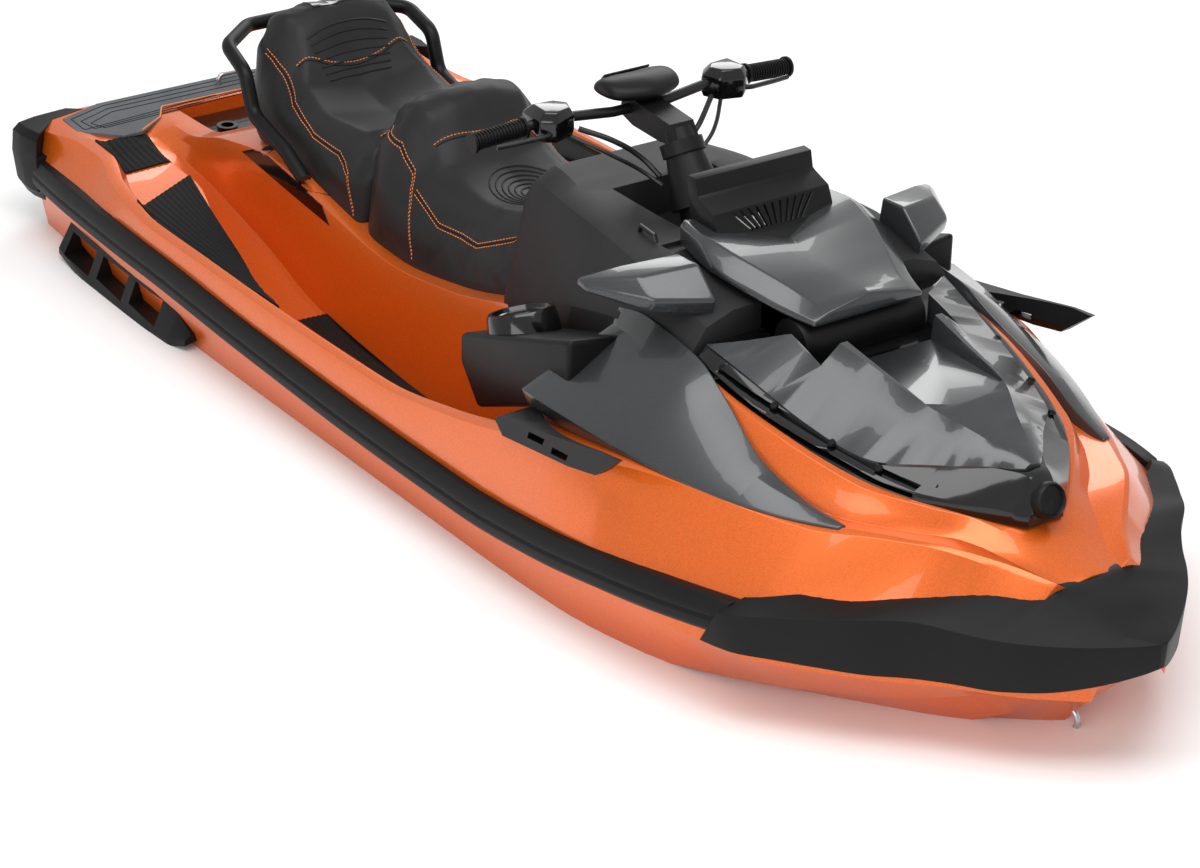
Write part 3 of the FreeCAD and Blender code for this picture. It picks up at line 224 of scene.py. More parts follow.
def turned(start, axis, profile, sides=32):
    """Rings of a turned piece: each corner of the profile is a distance along the axis and a radius."""
    turn = axis.normalized().to_track_quat("Z", "Y").to_matrix()
    return [[start + turn @ Vector((math.cos(a) * r, math.sin(a) * r, d)) / 1000
             for a in [2 * math.pi * k / sides for k in range(sides)]] for d, r in profile]


def tube_rings(points, radius, sides=12, bend=10):
    """Rings of a round tube along a smooth curve through the points."""
    data = bpy.data.curves.new("path", "CURVE")
    data.dimensions = "3D"
    spline = data.splines.new("BEZIER")
    spline.bezier_points.add(len(points) - 1)
    for knot, place in zip(spline.bezier_points, points):
        knot.co = place
        knot.handle_left_type = knot.handle_right_type = "AUTO"
    spline.resolution_u = bend
    holder = bpy.data.objects.new("path", data)
    mesh = bpy.data.meshes.new_from_object(holder)
    path = [v.co.copy() for v in mesh.vertices]
    bpy.data.objects.remove(holder)
    bpy.data.curves.remove(data)
    bpy.data.meshes.remove(mesh)
    return sweep(path, radius, sides)


def sweep(path, radius, sides=12):
    """Rings of a round tube along a polyline, without twist."""
    rings = []
    side = None
    for i, place in enumerate(path):
        along = (path[min(i + 1, len(path) - 1)] - path[max(i - 1, 0)]).normalized()
        if side is None:
            side = along.orthogonal().normalized()
        side = (side - along * side.dot(along)).normalized()
        other = along.cross(side)
        rings.append([place + (side * math.cos(a) + other * math.sin(a)) * radius / 1000
                      for a in [2 * math.pi * k / sides for k in range(sides)]])
    return rings


def bake(piece):
    """Applies the piece's modifiers to its mesh."""
    graph = bpy.context.evaluated_depsgraph_get()
    mesh = bpy.data.meshes.new_from_object(piece.evaluated_get(graph), depsgraph=graph)
    old = piece.data
    piece.modifiers.clear()
    piece.data = mesh
    bpy.data.meshes.remove(old)
    return piece


def carve(piece, *groups, join=False):
    """Cuts the closed skins out of the piece, or joins them to it."""
    tool = skin("tool", *groups)
    modifier = piece.modifiers.new("carve", "BOOLEAN")
    modifier.operation = "UNION" if join else "DIFFERENCE"
    modifier.solver = "EXACT"
    modifier.use_self = True
    modifier.object = tool
    bake(piece)
    bpy.data.objects.remove(tool)
    return piece


def slice_off(piece, at, normal):
    """Cuts off what lies on the normal's side of a plane and closes the piece."""
    bm = bmesh.new()
    bm.from_mesh(piece.data)
    found = bmesh.ops.bisect_plane(bm, geom=bm.verts[:] + bm.edges[:] + bm.faces[:], plane_co=at,
                                   plane_no=normal, clear_outer=True)
    rim = [e for e in found["geom_cut"] if isinstance(e, bmesh.types.BMEdge)]
    bmesh.ops.contextual_create(bm, geom=rim)
    bmesh.ops.holes_fill(bm, edges=bm.edges)
    bmesh.ops.recalc_face_normals(bm, faces=bm.faces)
    bm.to_mesh(piece.data)
    bm.free()
    return piece


def soften(piece, width, angle=24, segments=2):
    """Rounds the piece's edges and shades it smooth."""
    if width:
        modifier = piece.modifiers.new("soften", "BEVEL")
        modifier.width = width / 1000
        modifier.segments = segments
        modifier.limit_method = "ANGLE"
        modifier.angle_limit = math.radians(angle)
        modifier.use_clamp_overlap = True
        bake(piece)
    piece.data.polygons.foreach_set("use_smooth", [True] * len(piece.data.polygons))
    piece.data.set_sharp_from_angle(angle=math.radians(34))
    return piece


def subdivided(piece, levels=2):
    modifier = piece.modifiers.new("round", "SUBSURF")
    modifier.levels = modifier.render_levels = levels
    return bake(piece)


def place_piece(piece, look, body, slot, *nodes):
    """Gives the piece its finish and its body, and hides the solids that it stands for; its slot is not
    used.
    """
    piece.data.materials.clear()
    piece.data.materials.append(finish(look))
    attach(piece, body)
    if nodes:
        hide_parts(*nodes)
    return piece


# Finishes

def principled(name):
    """A new material and the pieces that every finish starts from."""
    material = bpy.data.materials.new(name)
    material.use_nodes = True
    tree = material.node_tree
    shader = next(n for n in tree.nodes if n.type == "BSDF_PRINCIPLED")
    place = tree.nodes.new("ShaderNodeTexCoord")
    return material, tree, shader, place.outputs["Object"]


def noise(tree, place, scale, detail=2.0, rough=0.5):
    node = tree.nodes.new("ShaderNodeTexNoise")
    node.inputs["Scale"].default_value = scale
    node.inputs["Detail"].default_value = detail
    node.inputs["Roughness"].default_value = rough
    tree.links.new(place, node.inputs["Vector"])
    return node


def ramp(tree, source, low, high, start=0.0, end=1.0):
    """Blends from one colour to another as the source goes from start to end."""
    node = tree.nodes.new("ShaderNodeValToRGB")
    node.color_ramp.elements[0].position = start
    node.color_ramp.elements[1].position = end
    node.color_ramp.elements[0].color = (*low, 1)
    node.color_ramp.elements[1].color = (*high, 1)
    tree.links.new(source, node.inputs["Fac"])
    return node.outputs["Color"]


def bump(tree, source, strength, distance, shader):
    node = tree.nodes.new("ShaderNodeBump")
    node.inputs["Strength"].default_value = strength
    node.inputs["Distance"].default_value = distance
    tree.links.new(source, node.inputs["Height"])
    tree.links.new(node.outputs["Normal"], shader.inputs["Normal"])
    return node


def grey(value):
    return (value, value, value)


def gloss_paint(name, colour, metallic, flake_width, spread, rough=0.27):
    """Gelcoat with metal flake under a clear coat."""
    material, tree, shader, place = principled(name)
    flakes = tree.nodes.new("ShaderNodeTexVoronoi")
    flakes.inputs["Scale"].default_value = 1 / flake_width
    tree.links.new(place, flakes.inputs["Vector"])
    cloud = noise(tree, place, 3.0)
    low = tuple(c * (1 - spread) for c in colour)
    high = tuple(min(1, c * (1 + spread)) for c in colour)
    speck = ramp(tree, flakes.outputs["Color"], low, high, 0.2, 0.9)
    tree.links.new(speck, shader.inputs["Base Color"])
    tree.links.new(ramp(tree, cloud.outputs["Fac"], grey(rough - 0.03), grey(rough + 0.03)),
                   shader.inputs["Roughness"])
    shader.inputs["Metallic"].default_value = metallic
    shader.inputs["Coat Weight"].default_value = 0.5
    shader.inputs["Coat Roughness"].default_value = 0.03
    return material


def moulded(name, colour, rough, grain_width, depth, coat=0.0):
    """Moulded plastic or rubber with a fine leather-like grain."""
    material, tree, shader, place = principled(name)
    cells = tree.nodes.new("ShaderNodeTexVoronoi")
    cells.inputs["Scale"].default_value = 1 / grain_width
    tree.links.new(place, cells.inputs["Vector"])
    cloud = noise(tree, place, 9.0, 4.0)
    low = tuple(c * 0.85 for c in colour)
    high = tuple(c * 1.2 for c in colour)
    tree.links.new(ramp(tree, cloud.outputs["Fac"], low, high, 0.3, 0.7), shader.inputs["Base Color"])
    tree.links.new(ramp(tree, cloud.outputs["Fac"], grey(rough - 0.05), grey(rough + 0.06)),
                   shader.inputs["Roughness"])
    shader.inputs["Specular IOR Level"].default_value = 0.2
    shader.inputs["Coat Weight"].default_value = coat
    shader.inputs["Coat Roughness"].default_value = 0.08
    bump(tree, cells.outputs["Distance"], 0.35, depth, shader)
    return material


def metal(name, colour, rough):
    """Brushed or cast metal with fine scratches."""
    material, tree, shader, place = principled(name)
    streaks = noise(tree, place, 160.0, 6.0, 0.7)
    tree.links.new(ramp(tree, streaks.outputs["Fac"], tuple(c * 0.8 for c in colour), colour, 0.3, 0.7),
                   shader.inputs["Base Color"])
    tree.links.new(ramp(tree, streaks.outputs["Fac"], grey(rough * 0.8), grey(rough * 1.3)),
                   shader.inputs["Roughness"])
    shader.inputs["Metallic"].default_value = 1.0
    bump(tree, streaks.outputs["Fac"], 0.15, 0.0003, shader)
    return material


FINISHES = {}


def finish(name):
    """The finish of that name, made the first time that it is asked for."""
    if name not in FINISHES:
        paint = bpy.context.scene.craft_paint
        vinyl = tuple(bpy.context.scene.craft_seat.vinyl)
        makers = {
            "orange": lambda: gloss_paint("candy_orange", tuple(paint.orange), 0.45, paint.flake, 0.16,
                                          0.32),
            "grey_gloss": lambda: gloss_paint("storm_grey_gloss", (0.033, 0.035, 0.037), 0.25, paint.flake,
                                              0.12),
            "black_gloss": lambda: moulded("piano_black", (0.003, 0.003, 0.0032), 0.14, 0.02, 0.00002, 0.7),
            "black_plastic": lambda: moulded("moulded_black", (0.0055, 0.0055, 0.006), 0.42, paint.grain,
                                             0.0003),
            "grey_textured": lambda: moulded("grained_grey", (0.016, 0.016, 0.017), 0.5, paint.grain,
                                             0.0006),
            "rubber": lambda: moulded("matt_rubber", (0.004, 0.004, 0.0042), 0.5, 0.0014, 0.0002),
            "pad": lambda: moulded("traction_rubber", (0.006, 0.006, 0.006), 0.8, 0.004, 0.001),
            "mat": lambda: moulded("deck_foam", (0.105, 0.110, 0.118), 0.85, 0.0016, 0.0004),
            "vinyl": lambda: moulded("marine_vinyl", vinyl, 0.44, 0.0016, 0.0003),
            # seam_shadow: near-black tubes laid along seams and routed lines, painted shade of their
            # grooves.
            "groove_shade": lambda: moulded("seam_shadow", (0.006, 0.006, 0.006), 0.7, 0.002, 0.0001),
            "thread": lambda: moulded("orange_thread", STITCH_ORANGE, 0.6, 0.0008, 0.0002),
            "tube": lambda: moulded("coated_tube", (0.012, 0.012, 0.012), 0.35, 0.003, 0.0001, 0.3),
            "steel": lambda: metal("stainless", (0.62, 0.62, 0.64), 0.28),
            "silver": lambda: metal("bright_collar", (0.82, 0.82, 0.83), 0.32),
            "alloy": lambda: metal("bare_alloy", (0.52, 0.53, 0.55), 0.42),
        }
        FINISHES[name] = makers[name]()
    return FINISHES[name]


SLOT_FINISHES = {
    "body_orange": "orange", "grey_gloss": "grey_gloss", "black_gloss": "black_gloss",
    "black_plastic": "black_plastic", "grey_textured": "grey_textured", "black_rubber": "rubber",
    "black_pad": "pad", "grey_mat": "mat", "seat_vinyl": "vinyl", "black_tube": "tube",
    "steel": "steel", "aluminium": "alloy", "cast_block": "alloy",
}


class FINISH_OT_solids(bpy.types.Operator):
    """Gives each solid of the frame the finish of its material slot"""
    bl_idname = "craft.finish_solids"
    bl_label = "Finish Solids"

    def execute(self, context):
        for part in frame["record"]["subparts"]:
            node = frame["nodes"][part["node"]]
            node.data.materials.clear()
            node.data.materials.append(finish(SLOT_FINISHES[part["material_slot"]]))
        return {"FINISHED"}


# Hull and deck. Each row: place, keel, chine half breadth and height, half breadth at the joint.
HULL_ROWS = (
    (-1640, 6, 500, 205, 548), (-1400, 4, 515, 205, 574), (-1000, 0, 535, 205, 594),
    (-500, 0, 540, 207, 600), (0, 0, 540, 210, 600), (350, 0, 540, 212, 600),
    (600, 4, 535, 225, 597), (850, 16, 500, 255, 582), (1150, 62, 395, 300, 522),
    (1270, 98, 327, 322, 444), (1335, 130, 290, 335, 392), (1456, 222, 205, 372, 276),
    (1560, 345, 120, 415, 188), (1645, 428, 60, 434, 92),
)
JOINT_STERN, JOINT_BOW = 402, 450
JOINT_REACH = (-1640, 1560)
RAIL_HALF = 36
# Each row: place, half breadth at the joint, then the deck's corners from the flank to the middle: crease,
# rim, shelf, ridge, the footwell's floor outside and inside, its inner wall, the plinth and the crown.
DECK_ROWS = (
    (-1700, 535, (522, 508), (488, 517), (440, 517), (380, 517),
     (360, 517), (320, 517), (290, 517), (250, 517), 517),
    (-1640, 548, (528, 508), (492, 517), (440, 517), (380, 517),
     (360, 517), (320, 517), (290, 517), (250, 517), 517),
    (-1500, 566, (506, 519), (472, 521), (446, 512), (384, 512),
     (352, 508), (318, 508), (292, 513), (258, 519), 517),
    (-1400, 574, (508, 520), (474, 521), (452, 494), (352, 498),
     (330, 478), (288, 472), (268, 500), (262, 522), 517),
    (-1232, 586, (556, 508), (524, 511), (504, 482), (350, 488),
     (332, 440), (276, 432), (264, 500), (258, 566), 570),
    (-1000, 594, (585, 497), (562, 502), (544, 478), (416, 486),
     (396, 388), (280, 380), (264, 490), (258, 596), 620),
    (-780, 597, (588, 498), (566, 504), (552, 480), (480, 490),
     (452, 338), (296, 332), (270, 440), (256, 556), 580),
    (-500, 600, (590, 500), (570, 505), (564, 500), (553, 497),
     (530, 308), (310, 302), (272, 410), (254, 516), 530),
    (-250, 600, (590, 503), (571, 508), (566, 505), (562, 502),
     (536, 302), (316, 300), (278, 430), (256, 545), 560),
    (0, 600, (590, 510), (571, 515), (567, 512), (562, 508),
     (537, 302), (322, 300), (288, 460), (264, 610), 620),
    (250, 600, (589, 546), (568, 553), (562, 548), (554, 540),
     (530, 312), (332, 310), (308, 500), (296, 670), 700),
    (400, 600, (587, 577), (562, 586), (552, 582), (540, 578),
     (516, 340), (350, 336), (328, 540), (318, 716), 760),
    (446, 599, (586, 590), (561, 598), (548, 596), (534, 592),
     (515, 360), (356, 352), (336, 560), (324, 736), 775),
    (456, 599, (586, 592), (561, 600), (548, 600), (530, 602),
     (500, 612), (450, 624), (390, 690), (326, 742), 778),
    (600, 597, (583, 622), (556, 632), (534, 634), (504, 637),
     (470, 641), (440, 645), (390, 706), (338, 790), 810),
    (850, 582, (496, 641), (472, 648), (456, 650), (434, 652),
     (416, 654), (400, 655), (362, 704), (328, 752), 770),
    (1150, 522, (378, 628), (356, 636), (342, 634), (326, 632),
     (314, 631), (302, 630), (284, 660), (266, 690), 706),
    (1270, 444, (304, 640), (290, 645), (272, 640), (252, 635),
     (236, 631), (222, 628), (200, 648), (180, 668), 672),
    (1335, 392, (262, 644), (250, 647), (226, 640), (202, 634),
     (180, 628), (160, 624), (138, 638), (115, 652), 656),
    (1456, 276, (152, 610), (136, 618), (126, 612), (115, 606),
     (106, 602), (98, 598), (74, 602), (50, 606), 611),
    (1530, 218, (100, 592), (90, 600), (84, 596), (76, 590),
     (70, 586), (64, 582), (50, 584), (36, 588), 592),
)
# Under the footwells the deck reaches down into the hull: place and height of its underside.
DECK_LOWS = ((-1700, 398), (-1400, 398), (-1232, 350), (-1000, 296), (-780, 280), (446, 280), (456, 290),
             (600, 420), (1560, 446))
SHAFT_HEIGHT = 128
# Cut-outs, as reaches along, across and up, and the pump's sloping duct.
PUMP_TUNNEL = (-1700, -1250, -152, 152, -20, 300)
DUCT_START = (-1251, 0, SHAFT_HEIGHT)
DUCT_END = (-657, 0, SHAFT_HEIGHT - 181)
DUCT_RADIUS = 80
WELL_PLAN = ((-1225, -520), (-1000, -548), (-500, -556), (470, -556))
WELL_HEIGHTS = (290, 700)
BIN = (499, 771, -156, 156)
BIN_FLOOR = 572
PANEL_BAY = (-1576, -1348, -200, 200, 478, 600)


def along_line(points, x):
    """Height at a place on a line of straight stretches."""
    for (a, low), (b, high) in zip(points, points[1:]):
        if x <= b:
            return low + (high - low) * (x - a) / (b - a)
    return points[-1][1]


def joint(x):
    """Height of the hull to deck joint."""
    rear, front = JOINT_REACH
    return JOINT_STERN + (JOINT_BOW - JOINT_STERN) * (x - rear) / (front - rear)


class SHELL_OT_hull(bpy.types.Operator):
    """Makes the V hull with its strakes, chines, pump tunnel and intake duct"""
    bl_idname = "craft.shell_hull"
    bl_label = "Hull"

    def execute(self, context):
        rows = []
        for x, keel, chine, rise, half in HULL_ROWS:
            middle = keel + (rise - keel) / 2
            rows.append((x, [(0, keel), (chine / 2, middle), (chine / 2 + 22, middle), (chine, rise),
                             (chine + 16, rise - 3), (half, joint(x) - 44), (half, joint(x))]))
        hull = skin("hull_shell", station_rings(rows, 5))
        duct = round_bar(point(*DUCT_START), point(*DUCT_END), (DUCT_RADIUS, DUCT_RADIUS))
        carve(hull, box(*PUMP_TUNNEL), duct)
        carve(hull, prism(whole(WELL_PLAN), *WELL_HEIGHTS))
        soften(hull, 0)
        place_piece(hull, "orange", "craft", "body_orange", "hull")
        return {"FINISHED"}


class SHELL_OT_deck(bpy.types.Operator):
    """Makes the moulded deck with its flanks, shelves and footwells"""
    bl_idname = "craft.shell_deck"
    bl_label = "Deck"

    def execute(self, context):
        rows = []
        for x, half, *corners, crown in DECK_ROWS:
            low = along_line(DECK_LOWS, x)
            rows.append((x, [(0, low), (half - 42, low), (half, joint(x)), (half, joint(x) + RAIL_HALF)]
                         + corners + [(0, crown)]))
        deck = skin("deck_shell", station_rings(rows, 6))
        carve(deck, box(*BIN, BIN_FLOOR, 1200), box(*PANEL_BAY))
        soften(deck, 7, 22, 3)
        place_piece(deck, "orange", "craft", "body_orange", "deck")
        return {"FINISHED"}


# Each row: place, half breadth at the joint, middle height of the rail.
RAIL_ROWS = (
    (-1640, 548, 412), (-1400, 574, 418), (-1000, 594, 422), (-500, 600, 408), (0, 600, 397),
    (350, 600, 400), (600, 597, 419), (850, 582, 450), (1150, 520, 478), (1200, 486, 480),
)
RAIL_PROUD = 27
BUMPER_END = (1093, 430)
BUMPER_LEAN = 0.57
BUMPER_LOW = 420
# Each row: distance behind the tip, lift and half breadth of the bottom, crease, inner line, shoulder and
# middle.
BUMPER_ROWS = (
    (675.5, 0, 578, (586, 482), (548, 502), (540, 480), 480),
    (573.5, 0, 550, (556, 500), (508, 524), (500, 500), 500),
    (503.5, 0, 500, (508, 513), (420, 538), (410, 515), 515),
    (432.5, 0, 446, (454, 525), (330, 550), (320, 530), 530),
    (364.5, 0, 390, (398, 540), (268, 566), (250, 548), 548),
    (313.5, 0, 332, (340, 543), (220, 573), (180, 560), 560),
    (254.5, 0, 279, (288, 535), (145, 583), (90, 576), 574),
    (201.5, 0, 240, (249, 531), (97, 585), (50, 588), 589),
    (160, 4, 204, (213, 530), (90, 571), (48, 580), 581),
    (119.5, 10, 162, (171, 530), (84, 560), (44, 570), 571),
    (69.5, 26, 98, (110, 532), (66, 548), (34, 555), 556),
    (19.5, 54, 32, (42, 537), (24, 544), (12, 545), 546),
    (0, 70, 5, (9, 540), (6, 541), (3, 541), 541),
)


class EDGE_OT_rails(bpy.types.Operator):
    """Makes the rub rails along the joint of hull and deck"""
    bl_idname = "craft.edge_rails"
    bl_label = "Rub Rails"

    def execute(self, context):
        rows = []
        for x, half, height in RAIL_ROWS:
            low, high = height - RAIL_HALF, height + RAIL_HALF
            out = half + RAIL_PROUD
            rows.append((x, [(half - 14, low), (out - 9, low), (out - 1, low + 10), (out, height - 8),
                             (out - 5, height - 2), (out - 1, height + 4), (out - 4, height + 14),
                             (out - 13, high), (half - 14, high)]))
        lean = Vector((1, 0, -BUMPER_LEAN)).normalized()
        rings = station_rings(rows, 6, False)
        for side, group in (("port", rings), ("starboard", mirrored(rings))):
            rail = skin("rub_rail_strip_" + side, group)
            slice_off(rail, point(BUMPER_END[0] - 0.5, 0, BUMPER_END[1]), lean)
            soften(rail, 2.5, 25)
            place_piece(rail, "rubber", "craft", "black_rubber", "rub_rail_" + side)
        return {"FINISHED"}


class EDGE_OT_bow_bumper(bpy.types.Operator):
    """Makes the wedge-shaped bow bumper"""
    bl_idname = "craft.edge_bow_bumper"
    bl_label = "Bow Bumper"

    def execute(self, context):
        rows = []
        for back, lift, low_half, crease, inner, shoulder, middle in BUMPER_ROWS:
            low = BUMPER_LOW + lift
            rows.append((TIP - back, [(0, low), (low_half, low), crease, inner, shoulder, (0, middle)]))
        bumper = skin("bow_bumper_shell", station_rings(rows, 4))
        slice_off(bumper, point(BUMPER_END[0], 0, BUMPER_END[1]), Vector((-1, 0, BUMPER_LEAN)).normalized())
        soften(bumper, 5, 14, 3)
        place_piece(bumper, "rubber", "craft", "black_rubber", "bow_bumper")
        return {"FINISHED"}


class EDGE_OT_stern_bumper(bpy.types.Operator):
    """Makes the band round the stern with its raised corner caps"""
    bl_idname = "craft.edge_stern_bumper"
    bl_label = "Stern Bumper"

    def execute(self, context):
        low, high, half, tail, back = 372, 460, 535, -1700, -1725
        outer = [(-1590, half + 40), (-1650, half + 46), (tail + 4, half + 40), (tail - 14, half - 12),
                 (back, half - 110)]
        corner = [(-1590, half + 40), (-1650, half + 52), (tail, half + 50), (tail - 16, half - 8),
                  (back, half - 110), (tail + 6, half - 150), (-1668, half - 40)]
        caps = []
        for z, share in ((low - 34, 0.78), (low + 6, 0.94), (high - 10, 1.0), (high + 42, 0.97),
                         (high + 58, 0.86)):
            centre = (tail + 40, half - 90)
            caps.append([point(*[c + (v - c) * share for c, v in zip(centre, at)], z) for at in corner])
        bumper = skin("stern_bumper_shell", prism(whole(outer), low, high))
        carve(bumper, caps, mirrored(caps), join=True)
        soften(bumper, 7, 20, 3)
        place_piece(bumper, "rubber", "craft", "black_rubber", "stern_bumper")
        return {"FINISHED"}


# Hood, nose band and side panels. Lifts count from the sloping seat of the hood.
SEAT_FRONT, SEAT_REAR = (1391, 640), (620, 794)
TRIM_ROWS = (
    (722, ((322, 0), (318, 18), (296, 42), (0, 42))), (850, ((316, 0), (312, 16), (278, 37), (0, 37))),
    (1000, ((292, 0), (288, 14), (256, 26), (0, 26))), (1142, ((250, 0), (246, 13), (211, 28), (0, 28))),
    (1230, ((202, 0), (196, 18), (126, 50), (0, 50))), (1308, ((136, 0), (130, 24), (58, 76), (0, 80))),
    (1360, ((82, 0), (78, 26), (26, 84), (0, 88))), (1392, ((44, 0), (42, 20), (20, 66), (0, 68))),
)
HOOD_ROWS = (
    (722, ((298, 30), (300, 46), (192, 86), (142, 116), (0, 118))),
    (850, ((281, 26), (283, 40), (178, 90), (136, 120), (0, 122))),
    (1000, ((258, 16), (260, 30), (156, 84), (115, 119), (0, 122))),
    (1142, ((214, 18), (216, 31), (126, 86), (97, 118), (0, 121))),
    (1230, ((128, 40), (130, 53), (88, 90), (58, 108), (0, 112))),
    (1308, ((56, 66), (58, 79), (42, 92), (26, 100), (0, 103))),
    (1346, ((18, 76), (20, 88), (14, 92), (8, 95), (0, 96))),
)
PANEL_ROWS = (
    (470, (556, 686), (338, 772), (324, 806)), (560, (547, 678), (356, 784), (326, 824)),
    (740, (516, 656), (392, 764), (330, 806)),
    (850, (492, 648), (402, 722), (338, 758)), (980, (450, 640), (392, 682), (356, 698)),
    (1100, (396, 636), (358, 658), (338, 656)),
    (1200, (340, 641), (330, 643), (322, 642)),
)
CONSOLE_ROWS = (
    (-34, ((0, 570), (258, 570), (258, 615), (205, 838), (180, 858), (0, 858))),
    (8, ((0, 580), (268, 580), (268, 632), (208, 884), (160, 908), (0, 908))),
    (150, ((0, 625), (290, 625), (290, 690), (236, 892), (186, 906), (0, 906))),
    (330, ((0, 680), (318, 680), (318, 745), (260, 892), (208, 904), (0, 904))),
    (520, ((0, 738), (338, 738), (336, 790), (286, 888), (222, 908), (0, 908))),
    (714, ((0, 752), (332, 752), (330, 792), (290, 846), (226, 868), (0, 872))),
)
# The console's open middle, and the bed in its top that the lid lies on, as a side outline.
CONSOLE_WELL = (168, 470, -128, 128, 820, 1100)
LID_BED = ((458, 898), (635, 898), (800, 850), (800, 1100), (458, 1100))
LID_BED_HALF = 216
# The hinge of the lid, the cover round it and the recess that the lid swings into.
HINGE_PLACE, HINGE_HEIGHT = 800, 808
BARREL_HALF, BARREL_RADIUS = 150, 52
LID_RECESS = (828, 922, -172, 172, 772, 1000)
SCOOP_SLITS = ((6, 15), (19, 27))
SCOOP_PLAN = ((780, -276), (1000, -250), (1140, -206), (1235, -170), (1235, -420), (780, -420))
CAP_AXIS = (0.94, 0, 0.34)
CAP_PROFILE = ((0, 36), (52, 36), (58, 33), (60, 31), (58, 29), (52, 27), (50, 8), (53, 0.5))
NOTCH_PLAN = ((600, -335), (700, -335), (818, -181), (876, -135), (885, 0))
# The dip in the hood's top: corners of its starboard side, its tip, and each level with its growth.
HOOD_DIP_PLAN = ((860, -104), (1142, -95), 1189)
HOOD_DIP_LEVELS = ((803, 0), (893, 14))
LID_ROWS = (
    (468, ((0, 906), (176, 906), (178, 944), (168, 956), (0, 926))),
    (553, ((0, 905), (198, 905), (194, 948), (182, 957), (0, 922))),
    (625, ((0, 905), (210, 905), (208, 920), (172, 946), (0, 920))),
    (720, ((0, 883), (182, 883), (180, 896), (142, 922), (0, 914))),
    (790, ((0, 867), (156, 867), (154, 880), (116, 900), (0, 909))),
    (853, ((0, 860), (135, 860), (134, 872), (100, 884), (0, 903))),
)
# Side outlines of the cowl and of its hollow, and each fanned slot: its reach along and its heights.
COWL_PROFILE = (
    (480, 906), (452, 985), (442, 1028), (450, 1040), (474, 1038), (482, 1004), (492, 999), (534, 984),
    (556, 938), (600, 918), (600, 900),
)
COWL_HOLLOW = (
    (474, 880), (444, 985), (456, 993), (486, 988), (526, 974), (545, 936), (556, 900), (556, 880),
)
COWL_HALF, COWL_WALL = 146, 18
SLOT_REACH, SLOT_HEIGHTS, SLOT_HALF = (500, 560), (938, 978), 2.5


def hood_seat(x):
    """Height of the sloping seat that the hood and the nose band sit on."""
    (front, low), (rear, high) = SEAT_FRONT, SEAT_REAR
    return low + (high - low) * (x - front) / (rear - front)


def nose_rings(rows, steps):
    """Rings of a piece whose heights count from the hood's seat, closed along its bottom."""
    lifted = []
    for x, profile in rows:
        base = hood_seat(x)
        lifted.append((x, [(0, base + profile[0][1])] + [(y, base + lift) for y, lift in profile]))
    return station_rings(lifted, steps)


class NOSE_OT_trim(bpy.types.Operator):
    """Makes the gloss black band under the hood with its intakes and round cap"""
    bl_idname = "craft.nose_trim"
    bl_label = "Nose Band"

    def execute(self, context):
        band = skin("nose_band", nose_rings(TRIM_ROWS, 4))
        scoops = []
        for slit in SCOOP_SLITS:
            scoop = [[point(x, y, hood_seat(x) + lift) for x, y in SCOOP_PLAN] for lift in slit]
            scoops += [scoop, mirrored(scoop)]
        carve(band, *scoops)
        carve(band, box(700, BIN[1], BIN[2], BIN[3], 600, 1000))
        soften(band, 1.5, 25)
        place_piece(band, "black_gloss", "craft", "black_gloss", "nose_trim")
        cap = skin("nose_cap", turned(point(1352, 0, 672), Vector(CAP_AXIS), CAP_PROFILE))
        soften(cap, 0)
        place_piece(cap, "black_plastic", "craft", "black_gloss")
        return {"FINISHED"}


class NOSE_OT_hood(bpy.types.Operator):
    """Makes the glossy hood with its scoop"""
    bl_idname = "craft.nose_hood"
    bl_label = "Hood"

    def execute(self, context):
        ends = [point(HINGE_PLACE, y, HINGE_HEIGHT) for y in (-BARREL_HALF, BARREL_HALF)]
        barrel = skin("hinge_barrel", round_bar(*ends, (BARREL_RADIUS, BARREL_RADIUS), 40))
        place_piece(soften(barrel, 3), "black_plastic", "craft", "black_gloss")
        hood = skin("hood_shell", nose_rings(HOOD_ROWS, 6))
        scoop = []
        for z, grow in HOOD_DIP_LEVELS:
            (rear, wide), (front, slim), tip = HOOD_DIP_PLAN
            side = [(rear, wide - grow), (front, slim - grow), (tip + grow, 0)]
            scoop.append([point(x, y, z) for x, y in whole(side)])
        carve(hood, prism(whole(NOTCH_PLAN), 700, 1000))
        carve(hood, box(*LID_RECESS))
        carve(hood, scoop)
        soften(hood, 4, 20, 3)
        place_piece(hood, "grey_gloss", "craft", "grey_gloss", "hood")
        return {"FINISHED"}


class NOSE_OT_side_panels(bpy.types.Operator):
    """Makes the glossy panels from the console to the nose"""
    bl_idname = "craft.side_panels"
    bl_label = "Side Panels"

    def execute(self, context):
        rows = []
        for x, low, fold, high in PANEL_ROWS:
            rows.append((x, [low, fold, high, (high[0] - 16, high[1] - 50), (low[0] - 16, low[1] - 40)]))
        rings = station_rings(rows, 4, False)
        for side, group in (("port", rings), ("starboard", mirrored(rings))):
            panel = skin("side_panel_shell_" + side, group)
            soften(panel, 3, 16, 3)
            place_piece(panel, "grey_gloss", "craft", "grey_gloss", "side_panel_" + side)
        return {"FINISHED"}


class COCKPIT_OT_console(bpy.types.Operator):
    """Makes the console with its open middle"""
    bl_idname = "craft.console"
    bl_label = "Console"

    def execute(self, context):
        console = skin("console_shell", station_rings(CONSOLE_ROWS, 5))
        carve(console, box(*CONSOLE_WELL))
        carve(console, box(BIN[0], 800, BIN[2], BIN[3], 500, 1100))
        carve(console, slab(LID_BED, -LID_BED_HALF, LID_BED_HALF))
        soften(console, 4, 20, 2)
        place_piece(console, "grey_textured", "craft", "grey_textured", "console")
        return {"FINISHED"}


